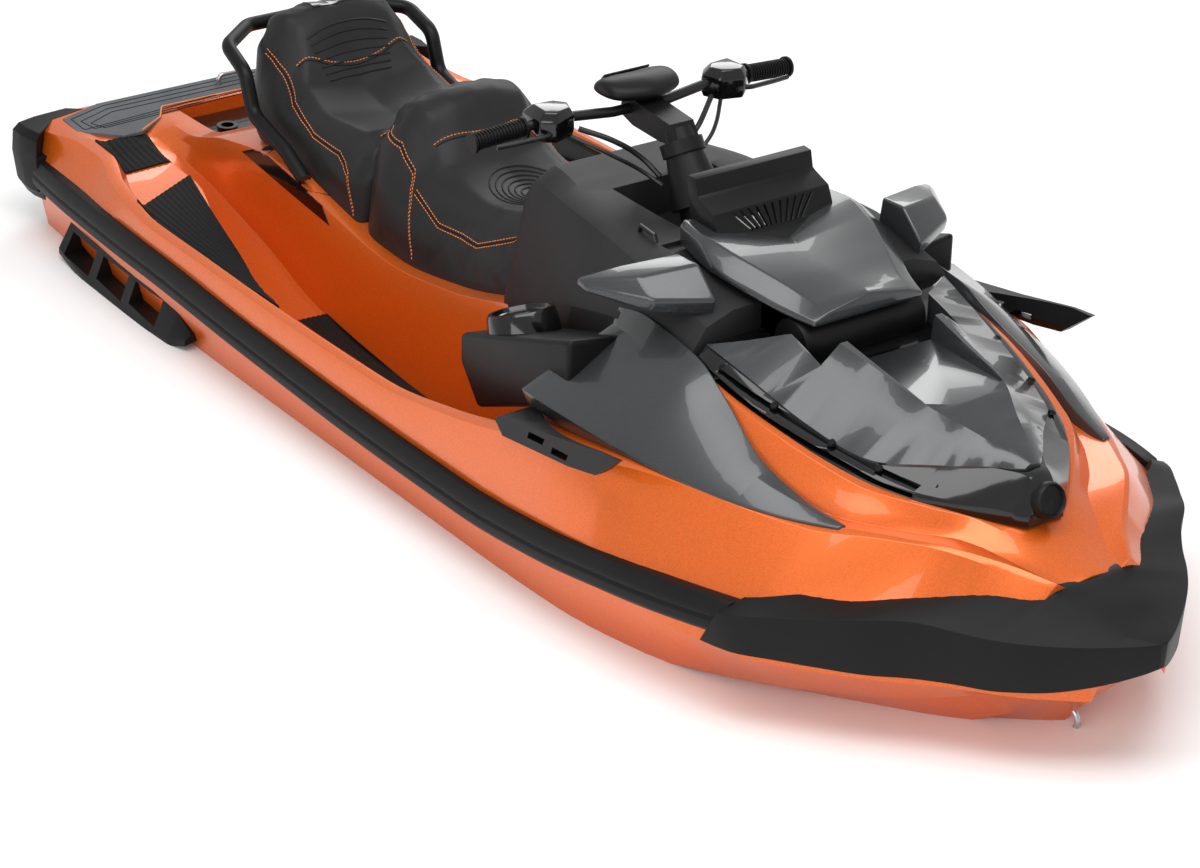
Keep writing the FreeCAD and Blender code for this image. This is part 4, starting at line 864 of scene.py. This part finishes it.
class COCKPIT_OT_lid(bpy.types.Operator):
    """Makes the storage lid"""
    bl_idname = "craft.storage_lid"
    bl_label = "Storage Lid"

    def execute(self, context):
        lid = skin("lid_shell", station_rings(LID_ROWS, 5))
        soften(lid, 4, 18, 3)
        place_piece(lid, "grey_gloss", "lid", "grey_gloss", "storage_lid")
        return {"FINISHED"}


class COCKPIT_OT_deflector(bpy.types.Operator):
    """Makes the cowl on the lid with its fanned slots"""
    bl_idname = "craft.wind_deflector"
    bl_label = "Wind Deflector"

    def execute(self, context):
        cowl = skin("deflector_shell", slab(COWL_PROFILE, -COWL_HALF, COWL_HALF))
        inner = COWL_HALF - COWL_WALL
        carve(cowl, slab(COWL_HOLLOW, -inner, inner))
        (rear, front), (foot, head) = SLOT_REACH, SLOT_HEIGHTS
        slots = []
        for i in range(-5, 6):
            low, high = 12 * i, 20 * i
            slot = []
            for s in (-SLOT_HALF, SLOT_HALF):
                slot.append([point(rear, low + s, foot), point(front, low + s, foot),
                             point(front, high + s, head), point(rear, high + s, head)])
            slots.append(slot)
        carve(cowl, *slots)
        soften(cowl, 3, 25, 2)
        place_piece(cowl, "black_plastic", "lid", "black_plastic", "wind_deflector")
        return {"FINISHED"}


# Each row: half breadth, then the corners of the mirror's side outline as places and heights.
MIRROR_ROWS = (
    (256, ((560, 862), (690, 852), (702, 890), (640, 946), (572, 944))),
    (372, ((524, 872), (640, 868), (648, 898), (600, 930), (532, 930))),
    (442, ((488, 886), (520, 884), (526, 897), (508, 906), (489, 904))),
)
# Side outlines of the speaker housing's outer and inner ends, and the ring on its top.
POD_ENDS = (-492, -330)
POD_OUTER = ((150, 600), (214, 518), (500, 638), (540, 700), (540, 800), (150, 664))
POD_INNER = ((170, 590), (230, 520), (500, 630), (530, 700), (530, 770), (170, 650))
RING_CENTRE = (268, -408, 676)
RING_AXIS = (-0.33, 0, 0.94)
RING_PROFILE = ((0, 78), (54, 72), (60, 68), (60, 60), (52, 56), (50, 52), (56, 30), (57, 0.5))
CONTROL_PLAN = ((30, -262), (36, -196), (70, -168), (112, -186), (128, -240), (104, -268))
# Each row: half breadth and share of the gauge housing's section.
GAUGE_ROWS = (
    (-90, 0.35), (-82, 0.72), (-60, 0.9), (-28, 0.98), (0, 1.0), (28, 0.98), (60, 0.9), (82, 0.72),
    (90, 0.35),
)
GAUGE_PROFILE = ((14, 1062), (34, 1096), (88, 1111), (136, 1096), (150, 1072), (116, 1056), (50, 1054))
SCREEN_PROFILE = ((14, 1072), (36, 1096), (33, 1099), (11, 1075))
# Levels of a switch pod: height, share of the plan and shift ahead.
CONTROL_LEVELS = ((1014, 0.9, 0), (1028, 1.0, 0), (1060, 1.0, 0), (1080, 0.7, 6))
CONTROL_CENTRE = (80, -220)
GAUGE_CENTRE = (86, 1084)
GAUGE_SWEEP = 0.18
SCREEN_HALF = 58
# Plan corners of the starboard pads and mats, and side corners of the strip on the seat's flank.
TRACTION_PAD = ((-1235, -350), (-1135, -545), (-452, -566), (-800, -474))
CORNER_PAD = ((-1482, -330), (-1482, -470), (-1330, -478), (-1330, -335))
FOOTWELL_MAT = ((-700, -300), (-700, -430), (100, -520), (60, -330))
FLANK_STRIP = ((-1140, 566), (-745, 520), (-790, 562), (-1063, 600))
# Each screw of the nose band: place and half breadth.
BAND_SCREWS = ((640, -306), (780, -296), (920, -278), (1060, -248), (1160, -214), (1250, -150))
SCREW_PROFILE = ((0, 8), (6, 8), (8, 6), (8, 0.5))
SCREW_LIFT = 24
SCREW_AXIS = (0, -0.55, 0.83)
# The steering column: a place on its axis, its lean backwards and the bright collar round it.
COLUMN_TOP = (232, 0, 998)
RAKE = math.radians(32)
COLLAR_BELOW = 105
COLLAR_PROFILE = ((0, 40), (2, 43), (20, 43), (24, 40), (24, 0.5))
# Each cable loop: its radius, then its points on the port side.
CABLES = (
    (6, ((104, 170, 1026), (150, 110, 1000), (176, 60, 962), (214, 40, 930))),
    (4.5, ((100, 200, 1020), (168, 130, 980), (196, 70, 940), (230, 46, 916))),
)
LATCH_PATH = ((372, -206, 900), (378, -206, 918), (432, -212, 918), (440, -212, 900))
GRIP_INNER = (75, 210, 1048)
GRIP_OUTER = (60, 1030)
RIB_PROFILE = ((-2, 17), (-1.2, 19.6), (1.2, 19.6), (2, 17))


def repeat(name, path, unit, spacing, look):
    """Puts the unit at even steps along the path, its Z axis along it, and bakes the lot to one mesh."""
    mesh = bpy.data.meshes.new(name)
    mesh.from_pydata([tuple(p) for p in path], [(i, i + 1) for i in range(len(path) - 1)], [])
    holder = bpy.data.objects.new(name, mesh)
    bpy.context.scene.collection.objects.link(holder)
    tree = bpy.data.node_groups.new("repeat_along", "GeometryNodeTree")
    tree.interface.new_socket("Path", in_out="INPUT", socket_type="NodeSocketGeometry")
    tree.interface.new_socket("Unit", in_out="INPUT", socket_type="NodeSocketObject")
    tree.interface.new_socket("Spacing", in_out="INPUT", socket_type="NodeSocketFloat")
    tree.interface.new_socket("Material", in_out="INPUT", socket_type="NodeSocketMaterial")
    tree.interface.new_socket("Geometry", in_out="OUTPUT", socket_type="NodeSocketGeometry")
    start = tree.nodes.new("NodeGroupInput")
    end = tree.nodes.new("NodeGroupOutput")
    line = tree.nodes.new("GeometryNodeMeshToCurve")
    places = tree.nodes.new("GeometryNodeCurveToPoints")
    places.mode = "LENGTH"
    info = tree.nodes.new("GeometryNodeObjectInfo")
    scatter = tree.nodes.new("GeometryNodeInstanceOnPoints")
    real = tree.nodes.new("GeometryNodeRealizeInstances")
    paint = tree.nodes.new("GeometryNodeSetMaterial")
    links = ((start.outputs["Path"], line.inputs["Mesh"]), (line.outputs["Curve"], places.inputs["Curve"]),
             (start.outputs["Spacing"], places.inputs["Length"]),
             (start.outputs["Unit"], info.inputs["Object"]),
             (places.outputs["Points"], scatter.inputs["Points"]),
             (info.outputs["Geometry"], scatter.inputs["Instance"]),
             (places.outputs["Rotation"], scatter.inputs["Rotation"]),
             (scatter.outputs["Instances"], real.inputs["Geometry"]),
             (real.outputs["Geometry"], paint.inputs["Geometry"]),
             (start.outputs["Material"], paint.inputs["Material"]),
             (paint.outputs["Geometry"], end.inputs["Geometry"]))
    for a, b in links:
        tree.links.new(a, b)
    modifier = holder.modifiers.new("repeat", "NODES")
    modifier.node_group = tree
    values = {"Unit": unit, "Spacing": spacing / 1000, "Material": finish(look)}
    for item in tree.interface.items_tree:
        if item.in_out == "INPUT" and item.name in values:
            modifier[item.identifier] = values[item.name]
    bake(holder)
    bpy.data.objects.remove(unit)
    holder.data.materials.clear()
    return holder


def surface_of(*pieces):
    """A search tree of the pieces' faces."""
    verts, faces = [], []
    for piece in pieces:
        base = len(verts)
        verts += [v.co.copy() for v in piece.data.vertices]
        faces += [[base + i for i in p.vertices] for p in piece.data.polygons]
    return BVHTree.FromPolygons(verts, faces)


def drop(surface, path, along, lift=0.0, step=6.0):
    """The path, in millimetres, cast on the surface along a direction and lifted off it."""
    dense = []
    for a, b in zip(path, path[1:]):
        a, b = point(*a), point(*b)
        count = max(1, int((b - a).length * 1000 / step))
        dense += [a.lerp(b, i / count) for i in range(count)]
    dense.append(point(*path[-1]))
    found = []
    for place in dense:
        spot, normal, _, _ = surface.ray_cast(place - along * 1.0, along)
        if spot is not None:
            facing = normal if normal.dot(along) < 0 else -normal
            found.append(spot + facing * lift / 1000)
    return found


# How far a draped sheet reaches under its surface.
SHEET_SINK = 4


def draped(name, corners, surface, cells, thick, rib=0.0, pitch=2, side=0):
    """A sheet on the surface inside four corners, seen from above or from one side, with ribs across it."""
    ray = Vector((0, side, 0)) if side else Vector((0, 0, -1))
    bm = bmesh.new()
    n, m = cells
    top, low = [], []
    for i in range(n + 1):
        for j in range(m + 1):
            s, t = i / n, j / m
            a = [corners[0][k] * (1 - s) + corners[1][k] * s for k in (0, 1)]
            b = [corners[3][k] * (1 - s) + corners[2][k] * s for k in (0, 1)]
            x, y = a[0] * (1 - t) + b[0] * t, a[1] * (1 - t) + b[1] * t
            start = point(x, -1400 * side, y) if side else point(x, y, 1400)
            spot = surface.ray_cast(start, ray)[0]
            rise = rib if (i // pitch) % 2 else 0
            top.append(bm.verts.new(spot - ray * (thick + rise) / 1000))
            low.append(bm.verts.new(spot + ray * (SHEET_SINK / 1000)))
    step = m + 1
    for i in range(n):
        for j in range(m):
            a = i * step + j
            bm.faces.new([top[a], top[a + 1], top[a + step + 1], top[a + step]])
            bm.faces.new([low[a], low[a + step], low[a + step + 1], low[a + 1]])
    rim = [i for i in range(step)] + [i * step + m for i in range(1, n + 1)]
    rim += [n * step + j for j in range(m - 1, -1, -1)] + [i * step for i in range(n - 1, 0, -1)]
    for a, b in zip(rim, rim[1:] + rim[:1]):
        bm.faces.new([top[a], low[a], low[b], top[b]])
    return new_piece(name, bm)


class COCKPIT_OT_mirrors(bpy.types.Operator):
    """Makes the mirror housings that point outwards"""
    bl_idname = "craft.mirrors"
    bl_label = "Mirrors"

    def execute(self, context):
        rings = [[point(x, -y, z) for x, z in outline] for y, outline in MIRROR_ROWS]
        for side, group in (("starboard", rings), ("port", mirrored(rings))):
            housing = soften(skin("mirror_housing_" + side, group), 12, 20, 4)
            place_piece(housing, "grey_gloss", "craft", "grey_gloss", "mirror_" + side)
        return {"FINISHED"}


class COCKPIT_OT_speakers(bpy.types.Operator):
    """Makes the speaker housings in the fronts of the footwells, each with a ring"""
    bl_idname = "craft.speakers"
    bl_label = "Speaker Pods"

    def execute(self, context):
        ends = zip(POD_ENDS, (POD_OUTER, POD_INNER))
        rings = [[point(x, y, z) for x, z in outline] for y, outline in ends]
        ring = turned(point(*RING_CENTRE), Vector(RING_AXIS), RING_PROFILE)
        for side, groups in (("starboard", (rings, ring)), ("port", (mirrored(rings), mirrored(ring)))):
            housing = soften(skin("speaker_housing_" + side, groups[0]), 12, 20, 4)
            place_piece(housing, "black_plastic", "craft", "black_plastic", "speaker_pod_" + side)
            trim = soften(skin("speaker_ring_" + side, groups[1]), 0)
            place_piece(trim, "black_gloss", "craft", "black_plastic")
        return {"FINISHED"}


class COCKPIT_OT_bar_pods(bpy.types.Operator):
    """Makes the rounded gauge housing and the faceted switch pods"""
    bl_idname = "craft.bar_pods"
    bl_label = "Bar Pods"

    def execute(self, context):
        rings = []
        a, b = GAUGE_CENTRE
        for y, share in GAUGE_ROWS:
            rings.append([point(a + (x - a) * share - abs(y) * GAUGE_SWEEP, y, b + (z - b) * share)
                          for x, z in GAUGE_PROFILE])
        gauge = subdivided(skin("gauge_housing", rings), 2)
        soften(gauge, 0)
        place_piece(gauge, "black_plastic", "steering", "black_plastic", "gauge_pod")
        glass = soften(skin("gauge_screen", slab(SCREEN_PROFILE, -SCREEN_HALF, SCREEN_HALF)), 1.5)
        place_piece(glass, "black_gloss", "steering", "black_plastic")
        levels = []
        a, b = CONTROL_CENTRE
        for z, share, shift in CONTROL_LEVELS:
            levels.append([point(a + (x - a) * share + shift, b + (y - b) * share, z)
                           for x, y in CONTROL_PLAN])
        for side, group in (("starboard", levels), ("port", mirrored(levels))):
            pod = soften(skin("switch_pod_" + side, group), 4, 15, 3)
            place_piece(pod, "black_gloss", "steering", "black_plastic", "control_pod_" + side)
        return {"FINISHED"}


class COCKPIT_OT_grip_ribs(bpy.types.Operator):
    """Makes the rings moulded round the grips"""
    bl_idname = "craft.grip_ribs"
    bl_label = "Grip Ribs"

    def execute(self, context):
        corners = [Vector(c) for c in frame["nodes"]["grips"].bound_box]
        half = max(c.y for c in corners) * 1000
        reach = grip_reach(frame["nodes"]["grips"])
        for side, sign in (("port", 1), ("starboard", -1)):
            a = Vector((GRIP_INNER[0], sign * GRIP_INNER[1], GRIP_INNER[2]))
            b = Vector((GRIP_OUTER[0], sign * half, GRIP_OUTER[1]))
            along = (b - a).normalized()
            path = [point(*(b - along * d)) for d in (14, reach - 14)]
            unit = skin("rib", turned(Vector((0, 0, 0)), Vector((0, 0, 1)), RIB_PROFILE))
            ribs = soften(repeat("grip_ribs_" + side, path, unit, 7, "rubber"), 0)
            place_piece(ribs, "rubber", "steering", "black_rubber")
        return {"FINISHED"}


def grip_reach(node):
    """Length of the grip along the bar."""
    places = [abs(v.co.y) for v in node.data.vertices]
    return (max(places) - min(places)) * 1000


class SHELL_OT_deck_pads(bpy.types.Operator):
    """Makes the mats and pads that lie on the deck, with their ribs"""
    bl_idname = "craft.deck_pads"
    bl_label = "Deck Pads"

    def execute(self, context):
        surface = surface_of(bpy.data.objects["deck_shell"])
        sides = (("starboard", 1), ("port", -1))
        for side, sign in sides:
            big = [(x, y * sign) for x, y in TRACTION_PAD]
            pad = draped("traction_pad_" + side, big, surface, (48, 66), 5, 1.2)
            place_piece(pad, "pad", "craft", "black_pad", *(("traction_pads",) if sign > 0 else ()))
            small = [(x, y * sign) for x, y in CORNER_PAD]
            patch = draped("corner_pad_" + side, small, surface, (36, 14), 4, 1.2)
            place_piece(patch, "pad", "craft", "black_pad")
            band = draped("flank_strip_" + side, FLANK_STRIP, surface, (40, 6), 2, 0, 2, sign)
            place_piece(band, "black_gloss", "craft", "black_pad")
            floor = [(x, y * sign) for x, y in FOOTWELL_MAT]
            mat = draped("footwell_mat_" + side, floor, surface, (60, 10), 5, 1.5, 3)
            # The footwell mats take the near-black rubber finish, not the grey of their mat slot: painted
            # shade of the deep footwells.
            place_piece(mat, "rubber", "craft", "grey_mat", *(("footwell_mats",) if sign > 0 else ()))
        return {"FINISHED"}


class SHELL_OT_mat_lines(bpy.types.Operator):
    """Makes the routed lines of the swim platform mat as dark tubes of painted shade, and the orange line
    at its inner edge
    """
    bl_idname = "craft.mat_lines"
    bl_label = "Mat Lines"

    def execute(self, context):
        mat = frame["nodes"]["swim_mat"]
        surface = surface_of(mat)
        strips = []
        for offset in (16, 40, 64):
            half = [(-1694 + offset, 0), (-1694 + offset, -346), (-1655 + offset, -462 + offset * 0.6),
                    (-1566 + offset * 0.3, -472 + offset)]
            path = half + [(x, -y) for x, y in half[-2::-1]]
            spots = drop(surface, [(x, y, 600) for x, y in path], Vector((0, 0, -1)), 0.2, 10)
            strips.append(sweep(spots, 1.2, 6))
        # Dark tubes along the routed lines: painted shade of the grooves.
        lines = skin("mat_grooves", *strips)
        place_piece(lines, "groove_shade", "craft", "grey_mat")
        half = [(-1590, 0), (-1592, -226), (-1534, -262), (-1482, -340)]
        path = half[::-1][:-1] + [(x, -y) for x, y in half]
        edge = drop(surface, [(x - 4, y, 600) for x, y in path], Vector((0, 0, -1)), 0.6, 10)
        line = skin("mat_edge_line", sweep(edge, 2.0, 6))
        place_piece(line, "thread", "craft", "grey_mat")
        return {"FINISHED"}


class COCKPIT_OT_fittings(bpy.types.Operator):
    """Makes the screws, the collar, the cable loops and the latch"""
    bl_idname = "craft.fittings"
    bl_label = "Fittings"

    def execute(self, context):
        screws = []
        for x, y in BAND_SCREWS:
            for sign in (1, -1):
                base = point(x, y * sign, hood_seat(x) + SCREW_LIFT)
                axis = Vector((SCREW_AXIS[0], SCREW_AXIS[1] * sign, SCREW_AXIS[2]))
                screws.append(turned(base, axis, SCREW_PROFILE, 20))
        heads = soften(skin("band_screws", *screws), 0)
        place_piece(heads, "black_plastic", "craft", "black_gloss")
        rake = Vector((-math.sin(RAKE), 0, math.cos(RAKE)))
        base = point(*COLUMN_TOP) - rake * (COLLAR_BELOW / 1000)
        ring = soften(skin("steering_collar", turned(base, rake, COLLAR_PROFILE, 40)), 0)
        place_piece(ring, "silver", "steering", "steel")
        loops = []
        for sign in (1, -1):
            for radius, spots in CABLES:
                loops.append(tube_rings([point(x, y * sign, z) for x, y, z in spots], radius))
        cables = soften(skin("bar_cables", *loops), 0)
        place_piece(cables, "tube", "steering", "black_tube")
        loop = skin("latch_loop", sweep([point(*spot) for spot in LATCH_PATH], 5, 10))
        soften(loop, 0)
        place_piece(loop, "tube", "craft", "black_plastic")
        return {"FINISHED"}


# Seats. Each row: place, then half breadths and heights from the flank's foot to the crown.
PASSENGER_ROWS = (
    (-1222, (168, 650), (172, 700), (166, 780), (140, 836), (70, 850), (0, 850)),
    (-1190, (206, 648), (204, 720), (192, 800), (150, 866), (72, 884), (0, 886)),
    (-1150, (228, 645), (216, 730), (198, 806), (144, 878), (72, 896), (0, 899)),
    (-1108, (236, 640), (220, 730), (192, 790), (130, 856), (66, 866), (0, 866)),
    (-1060, (237, 634), (224, 700), (196, 752), (140, 796), (70, 780), (0, 776)),
    (-1005, (237, 626), (226, 672), (206, 716), (166, 740), (80, 722), (0, 712)),
    (-900, (237, 600), (226, 646), (210, 690), (168, 712), (84, 696), (0, 684)),
    (-760, (237, 560), (226, 630), (208, 692), (164, 718), (84, 710), (0, 702)),
    (-690, (236, 545), (224, 640), (202, 702), (156, 740), (80, 744), (0, 744)),
    (-668, (230, 545), (216, 640), (194, 696), (148, 732), (78, 738), (0, 738)),
)
PASSENGER_BED = ((-1222, 596), (-1000, 576), (-668, 516))
DRIVER_ROWS = (
    (-662, (224, 545), (212, 650), (190, 740), (136, 796), (70, 806), (0, 808)),
    (-634, (234, 540), (220, 660), (198, 752), (142, 824), (70, 842), (0, 846)),
    (-590, (237, 530), (222, 660), (198, 758), (138, 844), (68, 864), (0, 868)),
    (-540, (237, 528), (220, 650), (192, 744), (132, 832), (66, 852), (0, 858)),
    (-490, (237, 528), (216, 636), (186, 708), (134, 772), (70, 780), (0, 782)),
    (-440, (236, 530), (212, 622), (186, 690), (140, 730), (72, 728), (0, 724)),
    (-300, (234, 545), (206, 616), (174, 672), (130, 702), (66, 698), (0, 690)),
    (-160, (232, 575), (202, 640), (170, 696), (124, 726), (62, 724), (0, 718)),
    (-90, (228, 595), (200, 670), (168, 726), (120, 756), (60, 758), (0, 756)),
    (-40, (222, 610), (198, 690), (168, 750), (118, 788), (60, 794), (0, 796)),
)
DRIVER_BED = ((-662, 512), (-440, 504), (-300, 516), (-40, 580))
# Seams down the flanks of the passenger's and the driver's seat, as places and heights.
REAR_FLANKS = (((-1140, 800), (-1080, 768), (-1005, 716), (-900, 676), (-790, 668), (-735, 640),
                (-700, 560)),)
FRONT_FLANKS = (
    ((-628, 776), (-560, 764), (-510, 716), (-480, 650), (-452, 545)),
    ((-480, 680), (-380, 640), (-240, 640), (-130, 690), (-60, 760)),
)
# Seams across the seats, each at its place and half breadth.
CROSS_SEAMS = ((-1060, 150), (-690, 150), (-500, 130), (-150, 118))
SEAM_RADIUS, THREAD_SHIFT, THREAD_LIFT = 1.5, 5, 0.4
FOAM_FRAMES = 20
STITCH_PROFILE = ((-3, 0.5), (-2, 1.1), (2, 1.1), (3, 0.5))
# Where the driver's seat ends, the height that paths are dropped from, and a glossy patch's corners.
SEAT_SPLIT = -668
ABOVE = 1300
BACKREST_PATCH = ((-1182, -64), (-1182, 64), (-1128, 64), (-1128, -64))


class SEAT_OT_seats(bpy.types.Operator):
    """Makes both seats as padded forms, with their seams, ribs and stitches"""
    bl_idname = "craft.seats"
    bl_label = "Seats"

    def execute(self, context):
        sizes = context.scene.craft_seat
        rear = self.padded("passenger_seat_padding", PASSENGER_ROWS, PASSENGER_BED, sizes)
        place_piece(rear, "vinyl", "craft", "seat_vinyl", "passenger_seat")
        front = self.padded("driver_seat_padding", DRIVER_ROWS, DRIVER_BED, sizes)
        place_piece(front, "vinyl", "craft", "seat_vinyl", "driver_seat")
        self.sew(rear, front, sizes)
        return {"FINISHED"}

    def padded(self, name, rows, bed, sizes):
        """A seat remeshed from its rows, swollen and smoothed."""
        table = []
        for x, *half in rows:
            low = along_line(bed, x)
            table.append((x, [(0, low), (half[0][0] - 6, low)] + [(y - 4, z - 3) for y, z in half[:-1]]
                          + [(0, half[-1][1] - 3)]))
        piece = soften(skin(name, station_rings(table, 5)), 14, 20, 4)
        start = piece.modifiers.new("cells", "REMESH")
        start.mode = "VOXEL"
        start.voxel_size = sizes.voxel
        bake(piece)
        self.swell(piece, sizes)
        smooth = piece.modifiers.new("smooth", "SMOOTH")
        smooth.factor = 0.5
        smooth.iterations = 4
        bake(piece)
        return soften(subdivided(piece, 1), 0)

    def swell(self, piece, sizes):
        """Blows the padding up with the cloth solver, each point up to the cap."""
        before = [v.co.copy() for v in piece.data.vertices]
        cloth = piece.modifiers.new("foam", "CLOTH")
        cloth.settings.use_pressure = True
        cloth.settings.uniform_pressure_force = sizes.pressure
        cloth.settings.effector_weights.gravity = 0
        cloth.settings.quality = 4
        scene = bpy.context.scene
        for number in range(1, FOAM_FRAMES + 1):
            scene.frame_set(number)
        bake(piece)
        scene.frame_set(1)
        cap = sizes.swell
        for vertex, old in zip(piece.data.vertices, before):
            move = vertex.co - old
            if move.length > cap:
                vertex.co = old + move * (cap / move.length)

    def sew(self, rear, front, sizes):
        """Lays the seams as dark tubes of painted shade, the ribs and the stitches on the seats."""
        rear_top, front_top = surface_of(rear), surface_of(front)
        down, in_port = Vector((0, 0, -1)), Vector((0, 1, 0))
        seams, threads = [], []
        flanks = [(rear_top, path) for path in REAR_FLANKS] + [(front_top, path) for path in FRONT_FLANKS]
        for surface, path in flanks:
            for sign in (1, -1):
                line = drop(surface, [(x, -sign * 10, z) for x, z in path], in_port * sign, 0, 5)
                seams.append((line, SEAM_RADIUS))
                for shift in (-THREAD_SHIFT, THREAD_SHIFT):
                    moved = [(x, -sign * 10, z + shift) for x, z in path]
                    threads.append(drop(surface, moved, in_port * sign, THREAD_LIFT, 5))
        for x, half in CROSS_SEAMS:
            surface = rear_top if x < SEAT_SPLIT else front_top
            path = [(x + 18 * math.cos(y / half * 1.5), y, ABOVE) for y in range(-half, half + 1, 10)]
            seams.append((drop(surface, path, down, 0, 5), SEAM_RADIUS))
            beside = [(a - THREAD_SHIFT, b, c) for a, b, c in path]
            threads.append(drop(surface, beside, down, THREAD_LIFT, 5))
        patch = draped("backrest_patch", BACKREST_PATCH, rear_top, (8, 12), 2)
        place_piece(soften(patch, 0), "black_gloss", "craft", "seat_vinyl")
        ribs = []
        for i in range(7):
            x = -1094 + 11 * i
            path = [(x + 0.0009 * y * y, y, ABOVE) for y in range(-110 + 4 * i, 111 - 4 * i, 8)]
            ribs.append((drop(rear_top, path, down, 0.4, 5), 2.6))
        for i in range(6):
            reach = 92 - 13 * i
            path = [(-300 + reach * 1.25 * math.cos(a), reach * math.sin(a), ABOVE)
                    for a in [2 * math.pi * k / 48 for k in range(49)]]
            ribs.append((drop(front_top, path, down, 0.4, 5), 2.2))
        # Dark tubes along the seams: painted shade of the seam grooves.
        groove_shades = skin("seat_seams", *[sweep(line, radius, 6) for line, radius in seams if len(line) > 2])
        place_piece(soften(groove_shades, 0), "groove_shade", "craft", "seat_vinyl")
        raised = skin("seat_ribs", *[sweep(line, radius, 8) for line, radius in ribs if len(line) > 2])
        place_piece(soften(raised, 0), "vinyl", "craft", "seat_vinyl")
        for i, line in enumerate(threads):
            if len(line) < 3:
                continue
            unit = skin("stitch", turned(Vector((0, 0, 0)), Vector((0, 0, 1)), STITCH_PROFILE, 6))
            stitch = repeat("stitches_%d" % i, line, unit, sizes.stitch * 1000, "thread")
            place_piece(stitch, "thread", "craft", "seat_vinyl")


class STAGE_OT_room(bpy.types.Operator):
    """Sets the floor at the waterline, the lights and the camera"""
    bl_idname = "craft.stage_room"
    bl_label = "Stage"

    def execute(self, context):
        sizes = context.scene.craft_stage
        context.scene.view_settings.view_transform = "Standard"
        context.scene.view_settings.exposure = -0.15
        self.camera(sizes)
        self.floor()
        self.lights()
        return {"FINISHED"}

    def camera(self, sizes):
        data = bpy.data.cameras.new("view")
        data.lens = sizes.lens
        data.sensor_width = 36
        data.clip_end = 200
        camera = bpy.data.objects.new("view", data)
        bpy.context.scene.collection.objects.link(camera)
        ahead = Vector((math.cos(sizes.pitch) * math.cos(sizes.yaw),
                        math.cos(sizes.pitch) * math.sin(sizes.yaw),
                        math.sin(sizes.pitch)))
        right = ahead.cross(Vector((0, 0, 1))).normalized()
        up = right.cross(ahead)
        rolled = right * math.cos(sizes.roll) + up * math.sin(sizes.roll)
        top = up * math.cos(sizes.roll) - right * math.sin(sizes.roll)
        turn = Matrix((rolled, top, -ahead)).transposed()
        camera.matrix_world = Matrix.Translation(Vector(sizes.eye)) @ turn.to_4x4()
        bpy.context.scene.camera = camera

    def floor(self):
        mesh = bpy.data.meshes.new("floor")
        reach = 40.0
        corners = [(-reach, -reach, 0), (reach, -reach, 0), (reach, reach, 0), (-reach, reach, 0)]
        mesh.from_pydata(corners, [], [(0, 1, 2, 3)])
        floor = bpy.data.objects.new("floor", mesh)
        bpy.context.scene.collection.objects.link(floor)
        material, tree, shader, place = principled("studio_floor")
        cloud = noise(tree, place, 0.6)
        tree.links.new(ramp(tree, cloud.outputs["Fac"], grey(0.94), grey(0.96)),
                       shader.inputs["Base Color"])
        shader.inputs["Roughness"].default_value = 0.7
        mesh.materials.append(material)

    def lights(self):
        world = bpy.data.worlds.new("studio")
        world.use_nodes = True
        world.node_tree.nodes["Background"].inputs["Color"].default_value = (1, 1, 1, 1)
        world.node_tree.nodes["Background"].inputs["Strength"].default_value = 0.72
        bpy.context.scene.world = world
        lamps = (("key", (1.5, -1.0, 5.0), (5.0, 3.0), 210), ("side", (3.0, -5.0, 2.6), (4.0, 2.0), 90),
                 ("rear", (-4.0, 3.5, 3.5), (4.0, 2.0), 110))
        for name, place, size, power in lamps:
            data = bpy.data.lights.new(name, "AREA")
            data.shape = "RECTANGLE"
            data.size, data.size_y = size
            data.energy = power
            lamp = bpy.data.objects.new(name, data)
            lamp.location = place
            lamp.rotation_euler = (Vector((0, 0, 0.2)) - Vector(place)).to_track_quat("-Z", "Y").to_euler()
            bpy.context.scene.collection.objects.link(lamp)


class CRAFT_PT_panel(bpy.types.Panel):
    """A button for each step of the craft"""
    bl_idname = "CRAFT_PT_panel"
    bl_label = "Watercraft"
    bl_space_type = "VIEW_3D"
    bl_region_type = "UI"
    bl_category = "Watercraft"

    def draw(self, context):
        for operator in STEPS:
            self.layout.operator(operator.bl_idname)


STEPS = (
    FINISH_OT_solids,
    SHELL_OT_hull, SHELL_OT_deck, SHELL_OT_deck_pads, SHELL_OT_mat_lines,
    EDGE_OT_rails, EDGE_OT_bow_bumper, EDGE_OT_stern_bumper,
    NOSE_OT_trim, NOSE_OT_hood, NOSE_OT_side_panels,
    COCKPIT_OT_console, COCKPIT_OT_lid, COCKPIT_OT_deflector, COCKPIT_OT_mirrors,
    COCKPIT_OT_speakers, COCKPIT_OT_bar_pods, COCKPIT_OT_grip_ribs, COCKPIT_OT_fittings,
    SEAT_OT_seats,
    STAGE_OT_room,
)
GROUPS = {"craft_paint": PaintSizes, "craft_seat": SeatSizes, "craft_stage": StageSizes}


def register():
    for group in GROUPS.values():
        bpy.utils.register_class(group)
    for name, group in GROUPS.items():
        setattr(bpy.types.Scene, name, PointerProperty(type=group))
    for operator in STEPS:
        bpy.utils.register_class(operator)
    bpy.utils.register_class(CRAFT_PT_panel)


def unregister():
    bpy.utils.unregister_class(CRAFT_PT_panel)
    for operator in reversed(STEPS):
        bpy.utils.unregister_class(operator)
    for name, group in GROUPS.items():
        delattr(bpy.types.Scene, name)
        bpy.utils.unregister_class(group)


def main():
    register()
    for operator in STEPS:
        category, name = operator.bl_idname.split(".")
        getattr(getattr(bpy.ops, category), name)()


if __name__ == "__main__":
    main()
